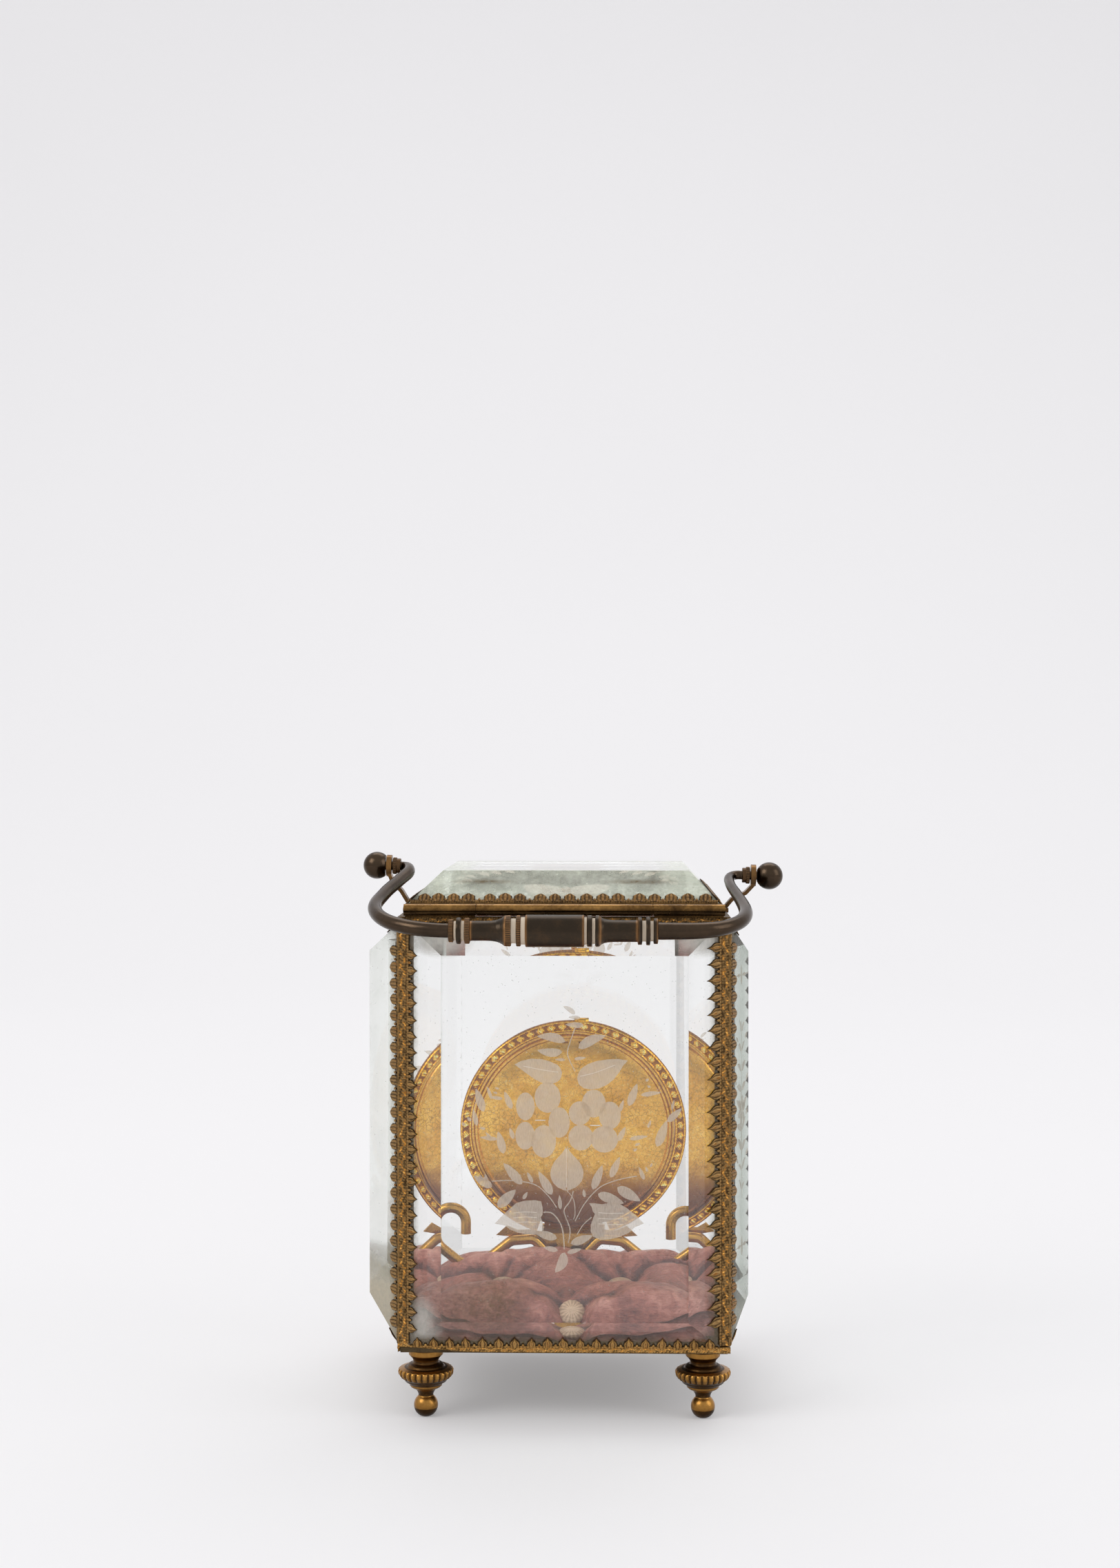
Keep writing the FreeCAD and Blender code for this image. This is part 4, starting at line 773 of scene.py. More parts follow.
# ---------------------------------------------------------------- corner posts
FLAT_SIDE_Y = 26.5
LEAF_KINDS = {("back", -1): ["palmette"], ("back", 1): ["long"], ("front", -1): ["shell"], ("front", 1): ["shell"]}
SIDE_KINDS = {("back", -1): ["shell"], ("back", 1): ["shell"], ("front", -1): ["palmette"], ("front", 1): ["palmette"]}
PHASES = {("back", -1): (115.6, 116.1), ("back", 1): (97.6, 96.9), ("front", -1): (70.0, 71.0), ("front", 1): (70.6, 69.4)}
for sy, yn in ((-1, "back"), (1, "front")):
    for sx, xn in ((-1, "left"), (1, "right")):
        mesh = Mesh()
        z0, z1 = Z_GL0 + 0.25, Z_GL1 + 0.05
        ss = np.linspace(z0, z1, 560)
        prof, dense = [], []
        nd = 15
        # near or far face, from its inner edge to the corner, then the side face
        for i in range(nd):
            w = -1 + 2 * i / (nd - 1)
            prof.append((38.4 + 2.6 * i / (nd - 1), 37.2))
            dense.append((w, (0, 1)) if 0 < i < nd - 1 else None)
        for i in range(1, nd):
            w = -1 + 2 * i / (nd - 1)
            prof.append((41.0, 37.2 - 2.6 * i / (nd - 1)))
            dense.append((w, (1, 0)) if i < nd - 1 else None)
        for p in [(38.6, 34.6), (38.6, 32.0), (38.3, 32.0), (38.3, 34.3), (36.0, 34.3), (36.0, 34.6), (38.4, 34.6)]:
            prof.append(p)
            dense.append(None)
        ph = rng.uniform(0, 4)
        band(mesh, ss, prof, dense, lambda s, p, q: np.stack([sx * p, sy * q, s], -1), 0.20, 4.06, ph, flip=(sx * sy < 0))
        for which, kinds in ((0, LEAF_KINDS[(yn, sx)]), (1, SIDE_KINDS[(yn, sx)])):
            phase = PHASES[(yn, sx)][which]
            teeth = [z for z in [phase + k * 4.0 for k in range(-60, 60)] if Z_GL0 + 4.2 < z < Z_GL1 - 3.6]
            if which == 0:
                run, rise = bevel(BG_X - FLAT_X[(yn, sx)], PROUD[yn])
                O = [sx * BG_X, sy * HY, 0]
                T, N = [-sx * run, sy * rise, 0], [sx * rise, sy * run, 0]
            else:
                run, rise = bevel(SG_Y - FLAT_SIDE_Y, PROUD[xn])
                O = [sx * HX, sy * SG_Y, 0]
                T, N = [sx * rise, -sy * run, 0], [sx * run, sy * rise, 0]
            strip_teeth(mesh, O, Z, T, N, z0 + 0.4, z1 - 0.4, teeth, kinds, rng, skew=(0.10 if (yn, sx, which) == ("back", 1, 0) else 0))
        mesh.obj("post_%s_%s" % (yn, xn), "case", GILT, replaces=["corner_post_%s_%s" % (yn, xn)])

# ---------------------------------------------------------------- frame rails
SIDES = {"back": (X, -Y), "front": (X, Y), "left": (Y, -X), "right": (Y, X)}
for side, (S, D) in SIDES.items():
    across = HY if side in ("back", "front") else HX
    along = HX if side in ("back", "front") else HY
    gh = BG_X if side in ("back", "front") else SG_Y
    lip_in = GIN_Y if side in ("back", "front") else GIN_X
    teeth = centred(-gh + 0.4, gh - 0.4, 4.0)
    flipb = np.linalg.det(np.array([S, D, Z])) > 0
    for low in (True, False):
        mesh = Mesh()
        za, zb = (17.5, 19.0) if low else (Z_GL1 + 0.1, Z_RAIL1)
        prof, dense, nd = [], [], 11
        for i in range(nd):
            w = -1 + 2 * i / (nd - 1)
            prof.append((0.0, za + (zb - za) * i / (nd - 1)))
            dense.append((w, (-1, 0)) if 0 < i < nd - 1 else None)
        inner = [(3.2, 19.0), (3.2, 18.45), (0.6, 18.45), (0.6, 17.5)] if low else [(3.2, zb), (3.2, za)]
        for p in inner:
            prof.append(p)
            dense.append(None)
        ns = int(2 * along / 0.19)
        ss = np.linspace(-1, 1, ns) * along
        sprung = low and side == "back"
        lift = lambda s: (1.25 * (1 - smooth(s, -42.0, -17.0)) ** 1.3 if sprung else 0 * s)
        pf = lambda s, p, q: s[:, None] * S + (across - p)[:, None] * D + (q + lift(s) * (p < 0.7))[:, None] * Z
        band(mesh, ss, prof, dense, pf, 0.16, 3.3 if low else 3.7, rng.uniform(0, 4), flip=flipb, mitre=lambda p: (along - p) / along)
        # inner lip
        c0, c1 = lip_in - 0.25, lip_in - 0.05
        zl = (Z_GL0 - 0.1, Z_GL0 + 2.4) if low else (Z_GL1 - 2.3, Z_GL1 + 0.1)
        loop = [(c0, zl[0]), (c1, zl[0]), (c1, zl[1]), (c0, zl[1])]
        P = np.array([[s * S + c * D + z * Z for c, z in loop] for s in (-(gh - 3.0), gh - 3.0)])
        tube_grid(mesh, P, np.full(P.shape[:2], 0.2), flip=not flipb)
        if low:
            run, rise = bevel(FLAT_Z[side][0] - Z_GL0, PROUD[side])
            T, N, O = Z * run + D * rise, D * run - Z * rise, D * across + Z * Z_GL0
        else:
            run, rise = bevel(Z_GL1 - FLAT_Z[side][1], PROUD[side])
            T, N, O = -Z * run + D * rise, D * run + Z * rise, D * across + Z * Z_GL1
        strip_teeth(mesh, O, S, T, N, -gh + 0.3, gh - 0.3, teeth, ["crest"], rng, base=0.5)
        nm = ("bottom_rail_" if low else "top_rail_") + side
        mesh.obj(nm + "_stamped", "case", GILT_LOWER_LIT if low else GILT, replaces=[nm])

# ---------------------------------------------------------------- lid rails
LID_TEETH = [-34.6, -31.0, -27.3, -23.5, -18.3, -14.5, -10.9, -6.0, -2.3, 1.4, 5.6, 9.6, 13.4, 18.5, 22.3, 26.4, 30.6, 34.8]
for side, (S, D) in SIDES.items():
    across = LID_HY if side in ("back", "front") else LID_HX
    along = LID_HX if side in ("back", "front") else LID_HY
    gh = (LID_HX if side in ("back", "front") else LID_HY) - 0.7
    ga = across - 0.7
    flat = {"back": 27.1, "front": 27.1, "left": 30.4, "right": 31.3}[side]
    flipb = np.linalg.det(np.array([S, D, Z])) > 0
    mesh = Mesh()
    prof, dense, nd = [], [], 13
    for i in range(nd):
        w = -1 + 2 * i / (nd - 1)
        prof.append((0.0, LID_Z0 + (LID_ZW - LID_Z0) * i / (nd - 1)))
        dense.append((w, (-1, 0)) if 0 < i < nd - 1 else None)
    for p in [(0.6, LID_ZW), (0.6, LID_Z0 + 0.7), (3.0, LID_Z0 + 0.7), (3.0, LID_Z0)]:
        prof.append(p)
        dense.append(None)
    ns = int(2 * along / 0.19)
    ss = np.linspace(-1, 1, ns) * along
    pf = lambda s, p, q: s[:, None] * S + (across - p)[:, None] * D + q[:, None] * Z
    band(mesh, ss, prof, dense, pf, 0.16, 4.2, rng.uniform(0, 4), flip=flipb, mitre=lambda p: (along - p) / along, plain=0.45)
    run, rise = bevel(ga - flat, LID_TOP - LID_ZW - 0.05)
    O, T, N = D * ga + Z * (LID_ZW + 0.05), -D * run + Z * rise, Z * run + D * rise
    teeth = LID_TEETH if side == "back" else centred(-gh + 0.6, gh - 0.6, 3.75)
    strip_teeth(mesh, O, S, T, N, -gh + 0.4, gh - 0.4, teeth, ["big"], rng, base=0.45, edge=1.0, bead=0.62)
    mesh.obj("lid_rail_%s_stamped" % side, "lid", GILT_LID, replaces=["lid_rail_" + side])


# ---------------------------------------------------------------- turned pieces
def turned(mesh, prof, centre, axis, nseg, radial=None, val=None):
    """prof: (r, h) pairs. radial(h, r, phi) gives the radius, val(h, r, phi) the relief value."""
    axis = unit(axis)
    u = unit(np.cross(axis, [0.3, 0.9, 0.2]))
    w = np.cross(axis, u)
    ph = np.linspace(0, 2 * math.pi, nseg, endpoint=False)
    P = np.zeros((len(prof), nseg, 3))
    A = np.full((len(prof), nseg), 0.5)
    for i, (r, h) in enumerate(prof):
        rr = np.full(nseg, r) if radial is None else radial(h, r, ph)
        P[i] = np.asarray(centre) + axis * h + np.outer(rr * np.cos(ph), u) + np.outer(rr * np.sin(ph), w)
        if val is not None:
            A[i] = val(h, r, ph, rr)
    tube_grid(mesh, P, A, flip=False)


def dense_profile(pts, step=0.12):
    """Profile through turned stations with points added along it: small chamfers stay crisp, long runs get points."""
    out = [pts[0]]
    for (r0, h0), (r1, h1) in zip(pts[:-1], pts[1:]):
        n = max(1, int(math.hypot(r1 - r0, h1 - h0) / step))
        for k in range(1, n + 1):
            out.append((r0 + (r1 - r0) * k / n, h0 + (h1 - h0) * k / n))
    return out


def soften(pts, passes=2):
    p = np.array(pts)
    for _ in range(passes):
        q = p.copy()
        q[1:-1] = 0.25 * p[:-2] + 0.5 * p[1:-1] + 0.25 * p[2:]
        p = q
    return [tuple(x) for x in p]


FOOT = [(0.0, 0.0), (1.25, 0.0)]
for a in range(-52, 56, 8):
    FOOT.append((3.0 * math.cos(math.radians(a)), 2.7 + 3.0 * math.sin(math.radians(a))))
FOOT += [(1.85, 5.25), (1.95, 5.75), (2.35, 6.45), (2.75, 6.95), (3.55, 7.15), (4.05, 7.6), (4.1, 8.1), (4.6, 8.45),
         (5.2, 8.75), (5.35, 9.15), (6.3, 9.8), (6.85, 10.6), (6.95, 11.4), (6.7, 11.9), (5.6, 12.15), (4.7, 12.3),
         (4.5, 12.75), (4.15, 13.05), (3.35, 13.25), (3.15, 13.7), (3.3, 14.3), (3.8, 14.9), (4.3, 15.4),
         (4.35, 17.18), (0.9, 17.18), (0.9, 19.6), (0.0, 19.6)]


def foot_r(h, r, ph):
    k = smooth(np.array(h), 9.5, 10.0) * (1 - smooth(np.array(h), 11.7, 12.0)) * (r > 5.4)
    bead = np.abs(np.cos(13 * ph))
    return r - 0.55 * k * (1 - bead ** 0.6)


def foot_v(h, r, ph, rr):
    k = float(smooth(np.array(h), 9.5, 10.0) * (1 - smooth(np.array(h), 11.7, 12.0)) * (r > 5.4))
    bead = np.abs(np.cos(13 * ph)) ** 0.8
    base = 0.60 if 2.2 < h < 5.2 or 14.0 < h < 16.6 or 6.6 < h < 8.0 else 0.58 if 10.6 < h < 12.2 else 0.22
    return base * (1 - k) + k * (0.06 + bead * 0.66)


for ynm, sy in (("back", -1), ("front", 1)):
    for xnm, sx in (("left", -1), ("right", 1)):
        mesh = Mesh()
        turned(mesh, soften(dense_profile(FOOT, 0.16), 1), (sx * FOOT_X, sy * FOOT_Y, 0), Z, 156, foot_r, foot_v)
        mesh.obj("turned_foot_%s_%s" % (ynm, xnm), "case", GILT_TURNED, replaces=["foot_%s_%s" % (ynm, xnm)])

GRIP = [(-27.58, 2.45), (-27.45, 2.76), (-26.45, 2.76), (-26.3, 2.35), (-25.75, 2.35), (-25.6, 3.10), (-25.3, 3.22),
        (-24.8, 3.22), (-24.5, 3.05), (-24.35, 2.40), (-23.8, 2.40), (-23.65, 3.02), (-23.5, 3.12), (-22.6, 3.12),
        (-22.45, 3.0), (-22.3, 2.42), (-19.0, 2.38), (-17.2, 2.45), (-16.0, 2.62), (-15.1, 2.95), (-14.4, 3.40),
        (-13.95, 3.70), (-12.7, 3.75), (-12.5, 3.6), (-12.4, 3.0), (-11.3, 3.0), (-11.2, 3.62), (-11.05, 3.75),
        (-10.3, 3.75), (-10.15, 3.6), (-10.05, 3.30), (-9.1, 3.30), (-9.0, 3.75), (-8.85, 3.90), (5.0, 3.90),
        (5.15, 3.75), (5.2, 3.30), (5.75, 3.30), (5.85, 3.65), (6.0, 3.80), (6.9, 3.80), (7.05, 3.65), (7.1, 3.10),
        (7.75, 3.10), (7.85, 3.65), (8.0, 3.80), (8.75, 3.78), (8.95, 3.55), (9.35, 3.20), (9.9, 2.95), (10.8, 2.75),
        (12.2, 2.65), (14.5, 2.63), (17.6, 2.63), (17.95, 2.63), (18.05, 3.2), (18.15, 3.30), (18.95, 3.30),
        (19.05, 3.2), (19.15, 2.50), (19.95, 2.50), (20.05, 3.3), (20.2, 3.42), (20.85, 3.42), (21.0, 3.3),
        (21.1, 2.45), (21.75, 2.45), (21.85, 2.98), (21.95, 3.10), (22.8, 3.10), (22.95, 2.6)]
MILLED = [(-27.6, -26.3), (-23.7, -22.4), (-13.7, -12.45), (-11.2, -10.1)]
CREAM = [(-26.3, -25.7), (-12.42, -11.25), (-10.08, -9.05), (5.18, 5.8), (7.08, 7.8), (19.12, 20.0), (21.08, 21.8), (-24.4, -23.7)]


def grip_r(h, r, ph):
    for a, b in MILLED:
        if a < h < b and r > 2.6:
            return r - 0.10 * (0.5 - 0.5 * np.cos(46 * ph))
    return np.full_like(ph, r)


def grip_v(h, r, ph, rr):
    for a, b in MILLED:
        if a < h < b and r > 2.6:
            return 0.35 + 0.4 * (0.5 + 0.5 * np.cos(46 * ph))
    for a, b in CREAM:
        if a < h < b:
            return np.full_like(ph, 1.0)
    d = min(abs(h - (-13.9)), abs(h - 9.0), abs(h + 8.9), abs(h - 5.05), abs(h + 22.2), abs(h - 17.9), abs(h - 22.9))
    return np.full_like(ph, 0.42 + 0.30 * math.exp(-(d / 0.35) ** 2))


def bronze_mat():
    """Bronzed brass: nearly black brown, rubbed to orange on the ring edges, pale wax and dust in the grooves."""
    m, nt = new_mat("bronzed_grip")
    t = NT(nt)
    co = t.n("ShaderNodeTexCoord").outputs["Object"]
    at = t.n("ShaderNodeAttribute", attribute_name="relief").outputs["Fac"]
    n1 = t.noise(co, 300, 4, 0.6)
    n2 = t.noise(co, 2200, 3, 0.6)
    f = t.math("MULTIPLY_ADD", t.math("SUBTRACT", n1, 0.5), 0.16, at)
    f = t.math("MULTIPLY_ADD", t.math("SUBTRACT", n2, 0.5), 0.08, f, clamp=True)
    col = t.ramp(f, [(0.0, (0.012, 0.009, 0.007)), (0.42, (0.046, 0.034, 0.024)), (0.62, (0.15, 0.080, 0.036)),
                     (0.78, (0.36, 0.19, 0.08)), (0.93, (0.62, 0.52, 0.40))])
    p = t.n("ShaderNodeBsdfPrincipled")
    t.link(col, p.inputs["Base Color"])
    t.link(t.math("MULTIPLY_ADD", t.math("GREATER_THAN", f, 0.86), -1.0, 1.0), p.inputs["Metallic"])
    t.link(t.math("MULTIPLY_ADD", f, 0.35, 0.16, clamp=True), p.inputs["Roughness"])
    t.link(t.bump(t.math("ADD", n1, n2), 0.25, 0.00008), p.inputs["Normal"])
    o = t.n("ShaderNodeOutputMaterial")
    t.link(p.outputs[0], o.inputs[0])
    return m


BRONZE_GRIP = bronze_mat()
mesh = Mesh()
pts = dense_profile([(r, x) for x, r in GRIP], 0.14)
pts = [(0.0, pts[0][1])] + pts + [(0.0, pts[-1][1])]
turned(mesh, pts, (0, GRIP_Y, GRIP_Z), X, 138, grip_r, grip_v)
mesh.obj("turned_grip", "handle", BRONZE_GRIP, replaces=["handle_grip"], angle=40)

# milled collars
PIV_L, PIV_R = np.array([-49.89, 0.0, 135.81]), np.array([53.12, 0.0, 133.13])
AXH = unit(PIV_R - PIV_L)


def on_axis(x):
    return PIV_L + AXH * ((x - PIV_L[0]) / AXH[0])


for nm, (a, b, c) in (("left", (-45.62, -44.65, -43.6)), ("right", (48.0, 47.0, 46.05))):
    mesh = Mesh()
    L1, L2 = abs(b - a), abs(c - b)
    s = 1 if c > a else -1
    prof = [(1.17, 0.0), (2.1, 0.0), (2.2, 0.08), (2.2, L1 - 0.08), (2.1, L1), (1.95, L1 + 0.02), (1.95, L1 + L2 - 0.1), (1.85, L1 + L2), (1.17, L1 + L2)]
    turned(mesh, dense_profile(prof, 0.14), on_axis(a), AXH * s, 132,
           lambda h, r, ph: r - (0.09 * (0.5 - 0.5 * np.cos(44 * ph)) if r > 2.15 and 0.05 < h < L1 else 0.0) * np.ones_like(ph),
           lambda h, r, ph, rr: (0.45 + 0.35 * np.cos(44 * ph) if r > 2.15 else 0.55 * np.ones_like(ph)))
    mesh.obj("milled_collar_" + nm, "handle", BRONZE_GRIP, replaces=["handle_collar_" + nm], angle=40)


# ---------------------------------------------------------------- beaded rim of the plate
def lean(p):
    p = np.asarray(p, float)
    c, s = math.cos(DISC_LEAN), math.sin(DISC_LEAN)
    out = np.empty_like(p)
    out[..., 0] = p[..., 0]
    out[..., 1] = p[..., 1] * c - p[..., 2] * s
    out[..., 2] = p[..., 1] * s + p[..., 2] * c
    return out + DISC_C


mesh = Mesh()
gap = math.asin(9.2 / 28.0)
NB = 62
na, nr = 1500, 21
phi = np.linspace(-math.pi / 2 + gap, 1.5 * math.pi - gap, na)
rr = np.linspace(26.46, DISC_R, nr)
PH, RR = np.meshgrid(phi, rr, indexing="ij")
bp = np.mod(PH / (2 * math.pi) * NB, 1.0) - 0.5
bs = bp * 2 * math.pi * 27.95 / NB
br = RR - 27.95
bead = np.sqrt(np.clip(1 - (bs / 1.18) ** 2 * 1.0 - (br / 0.86) ** 2, 0, 1))
mould = np.exp(-((RR - 26.85) / 0.24) ** 2) + np.exp(-((RR - 29.05) / 0.24) ** 2)
facets_and_glints = 0.26 * np.sin(PH * 211 + RR * 3.1 + 2.0 * np.sin(PH * 17)) * np.sin(RR * 6.3 + PH * 57)
h = 0.44 + 0.42 * bead + 0.40 * np.clip(mould, 0, 1) + 0.6 * facets_and_glints * (bead > 0)
h *= smooth(RR, 26.4, 26.6) * (1 - 0.5 * smooth(RR, 29.25, 29.5))
h = np.clip(h, 0.3, 1.15)
# colour value: brightest on the bead tops and along the facet pattern, painted glints on the rim
val = np.clip(np.maximum(bead * 0.95, mould * 0.8) + facets_and_glints, 0, 1)
F = np.stack([RR * np.cos(PH), -h, RR * np.sin(PH)], -1)
B = np.stack([RR * np.cos(PH), h, RR * np.sin(PH)], -1)
nuv = na * nr
f = grid_faces(na, nr) + [tuple(reversed(q)) for q in grid_faces(na, nr, base=nuv)]
ring = [j for j in range(nr)] + [i * nr + nr - 1 for i in range(1, na)] + [(na - 1) * nr + j for j in range(nr - 2, -1, -1)] + [i * nr for i in range(na - 2, 0, -1)]
for k in range(len(ring)):
    a, b = ring[k], ring[(k + 1) % len(ring)]
    f.append((b, a, a + nuv, b + nuv))
mesh.add(np.concatenate([lean(F).reshape(-1, 3), lean(B).reshape(-1, 3)]), f, np.concatenate([val.reshape(-1)] * 2), flip=True)
tb = np.array([[x, y, z] for x in (0.4, 4.1) for y in (-0.5, 0.5) for z in (28.4, DISC_R + 0.55)])
mesh.add(lean(tb), [(0, 1, 3, 2), (4, 6, 7, 5), (0, 4, 5, 1), (2, 3, 7, 6), (0, 2, 6, 4), (1, 5, 7, 3)], np.full(8, 0.6))
mesh.obj("beaded_rim", "case", STAND, replaces=["plate_rim"])

# ---------------------------------------------------------------- cushion
# buttons: x, y, height of the surface under them, lean towards the near side in degrees
BUTTONS = [(-16.0, -9.5, 27.7, 8.0), (14.1, -9.5, 27.7, 8.0), (1.9, -28.6, 25.6, 50.0), (2.0, 19.5, 24.8, -20.0)]
# creases of the tufting: points, depth at the start and at the end, width
CREASES = [
    ([(-16.0, -9.5), (-12.4, -10.6), (-9.0, -11.4), (-5.8, -14.6), (-3.0, -19.5), (-0.6, -24.0)], 2.4, 2.6, 1.0),
    ([(14.1, -9.5), (10.6, -10.8), (7.4, -12.6), (4.6, -16.4), (3.0, -20.5), (1.8, -24.0)], 2.4, 2.6, 1.0),
    ([(-16.0, -9.5), (-19.4, -11.0), (-24.0, -13.6), (-29.0, -17.6), (-33.0, -22.5), (-38.0, -28.0)], 3.4, 1.6, 1.4),
    ([(-16.0, -9.5), (-18.6, -6.4), (-21.6, -3.6), (-25.5, -2.4), (-31.0, -1.8), (-38.0, -0.5)], 2.0, 1.2, 0.8),
    ([(-16.0, -9.5), (-13.0, -6.4), (-9.6, -4.0), (-7.6, -2.8)], 1.9, 0.2, 0.8),
    ([(-16.0, -9.5), (-16.6, -5.6), (-14.4, -2.6)], 1.4, 0.2, 0.7),
    ([(14.1, -9.5), (11.0, -6.6), (7.4, -4.8), (3.6, -1.6)], 2.0, 0.2, 0.8),
    ([(14.1, -9.5), (14.9, -6.0), (13.6, -3.0)], 1.2, 0.2, 0.7),
    ([(14.1, -9.5), (17.0, -7.4), (19.8, -3.6), (23.2, -1.0), (27.0, -0.2), (38.0, 3.0)], 2.8, 0.8, 1.0),
    ([(14.1, -9.5), (18.8, -11.2), (25.0, -15.2), (31.5, -21.0), (38.0, -27.5)], 2.0, 2.6, 1.2),
    ([(1.9, -28.0), (-3.0, -27.0), (-7.5, -29.5)], 1.5, 0.1, 1.2),
    ([(1.9, -28.0), (7.0, -27.0), (11.5, -29.5)], 1.5, 0.1, 1.2),
    ([(2.0, 19.5), (-5.0, 14.0), (-12.0, 9.0), (-17.0, 5.6)], 2.4, 0.3, 1.3),
    ([(2.0, 19.5), (9.0, 14.0), (14.0, 9.0), (18.0, 5.6)], 2.4, 0.3, 1.3),
    ([(2.0, 19.5), (-5.0, 24.0), (-12.0, 29.0), (-16.0, 35.0)], 2.2, 1.4, 1.5),
    ([(2.0, 19.5), (8.0, 24.0), (15.0, 29.0), (19.0, 35.0)], 2.2, 1.4, 1.5),
    ([(2.0, 19.5), (14.0, 18.0), (26.0, 19.0), (38.0, 17.0)], 2.2, 1.2, 1.5),
    ([(2.0, 19.5), (-12.0, 17.5), (-26.0, 19.0), (-38.0, 18.0)], 2.2, 1.2, 1.5),
]


def curve(pts, n=40):
    p = np.array(pts, float)
    k = len(p)
    out = []
    for t in np.linspace(0, k - 1, n):
        i = min(int(t), k - 2)
        u = t - i
        a, b, c, d = p[max(i - 1, 0)], p[i], p[i + 1], p[min(i + 2, k - 1)]
        out.append(0.5 * (2 * b + (c - a) * u + (2 * a - 5 * b + 4 * c - d) * u ** 2 + (3 * b - a - 3 * c + d) * u ** 3))
    return np.array(out)


def cushion_top(x, y):
    """Height of the stuffed top: a crown pulled down at the buttons, with creases between them and out to the edges."""
    ys = np.linspace(-36, 36, 145)
    zs = np.interp(ys, [-36, -33, -30, -27, -24, -21, -18, -15, -12, -9, -6, -3, 0, 2.2, 5, 8, 12, 20, 28, 33, 36],
                   [29.6, 30.3, 30.8, 31.1, 30.9, 30.4, 29.5, 28.7, 28.4, 29.2, 30.9, 32.7, 34.3, 34.8, 34.2, 32.6, 31.0, 28.8, 27.0, 25.6, 24.6])
    for _ in range(4):
        zs[1:-1] = 0.25 * zs[:-2] + 0.5 * zs[1:-1] + 0.25 * zs[2:]
    dx = 1 - (np.abs(x) / 43.0) ** 6
    z = 22.2 + (np.interp(y, ys, zs) - 22.2) * np.clip(dx, 0, 1)
    z = z - 0.20 * np.clip(-x - 19.0, 0, None) * smooth(y, -22.0, -12.0)
    near = np.full_like(x, 1e9)
    for pts, d0, d1, wd in CREASES:
        c = curve(pts)
        best = np.full_like(x, 1e9)
        pos = np.zeros_like(x)
        for k in range(len(c)):
            d = np.hypot(x - c[k, 0], y - c[k, 1])
            m = d < best
            best = np.where(m, d, best)
            pos = np.where(m, k / (len(c) - 1), pos)
        dep = d0 + (d1 - d0) * pos
        wide = wd * (1 + 0.9 * pos)
        z = z - dep * np.exp(-(best / wide) ** 1.05)
        near = np.minimum(near, best / (0.7 + 0.3 * dep / 3.0))
    # stuffing swells between the creases
    z = z + 1.1 * (1 - np.exp(-(near / 5.0) ** 2)) - 0.4
    for bx, by, bz, tilt in BUTTONS:
        d = np.hypot(x - bx, np.where((tilt > 30) & (y < by), 0.25, 1.0) * (y - by))
        k = np.exp(-(d / (4.8 if tilt > 30 else 4.4)) ** (2.6 if tilt > 30 else 1.8))
        th = np.arctan2(y - by, x - bx)
        z = z * (1 - k) + (bz + (0.10 * d if tilt < 30 else math.tan(math.radians(tilt)) * (y - by))) * k
        if tilt < 30:
            z = z + 0.28 * np.cos(13 * th + bx) * np.exp(-((d - 5.0) / 2.6) ** 2)
            z = z + 0.13 * np.cos(24 * th + 2.0 * np.sin(3 * th) + bx) * np.exp(-((d - 7.0) / 3.4) ** 2)
    cushion_top.near = near
    ex = np.clip((38.0 - np.abs(x)) / 4.6, 0, 1)
    ey = np.clip((34.15 - np.abs(y)) / np.where(y < 0, 1.5, 4.0), 0, 1)
    edge = np.sqrt(np.clip(1 - (1 - ex) ** 2, 0, 1)) * np.sqrt(np.clip(1 - (1 - ey) ** 2, 0, 1))
    z = 21.3 + (z - 21.3) * edge
    # grooves where the wires of the stand press in
    wire = np.interp(np.abs(x), [0, 5.0, 8.6, 14.6, 21.8, 27.4, 31.4, 33.0], [33.2, 33.6, 37.5, 37.0, 31.3, 30.6, 36.2, 40.0]) - 1.1
    return np.minimum(z, wire + 9.0 * np.clip(np.abs(y - STAND_Y) - 1.15, 0, None))


def simulate(o, pin, frames=20):
    """Cloth with a little spare material and pressure from within, run at ten times the size."""
    o.scale = (10, 10, 10)
    bpy.context.view_layer.update()
    bpy.ops.object.select_all(action="DESELECT")
    o.select_set(True)
    bpy.context.view_layer.objects.active = o
    bpy.ops.object.transform_apply(location=False, rotation=False, scale=True)
    g = o.vertex_groups.new(name="pin")
    for i, w in enumerate(pin):
        if w > 0:
            g.add([i], float(w), "REPLACE")
    before = np.empty(len(o.data.vertices) * 3)
    o.data.vertices.foreach_get("co", before)
    m = o.modifiers.new("cloth", "CLOTH")
    s = m.settings
    s.quality = 5
    s.mass = 0.25
    s.tension_stiffness = s.compression_stiffness = 12
    s.shear_stiffness = 4
    s.bending_stiffness = 0.15
    s.shrink_min = -0.035
    s.use_pressure = True
    s.uniform_pressure_force = 0.9
    s.effector_weights.gravity = 0
    s.vertex_group_mass = "pin"
    s.pin_stiffness = 1.0
    m.collision_settings.use_self_collision = False
    m.collision_settings.use_collision = False
    sc = bpy.context.scene
    sc.frame_start, sc.frame_end = 1, frames
    for f in range(1, frames + 1):
        sc.frame_set(f)
    dg = bpy.context.evaluated_depsgraph_get()
    e = o.evaluated_get(dg)
    after = np.empty(len(o.data.vertices) * 3)
    e.data.vertices.foreach_get("co", after)
    o.modifiers.remove(m)
    d = (after - before).reshape(-1, 3)
    n = np.linalg.norm(d, axis=1)
    cap = 0.030
    d *= np.minimum(1, cap / np.maximum(n, 1e-9))[:, None]
    out = before.reshape(-1, 3) + d
    o.data.vertices.foreach_set("co", (out / 10).reshape(-1))
    o.data.update()
    sc.frame_set(1)
    o.vertex_groups.clear()
    return n.max() / 10


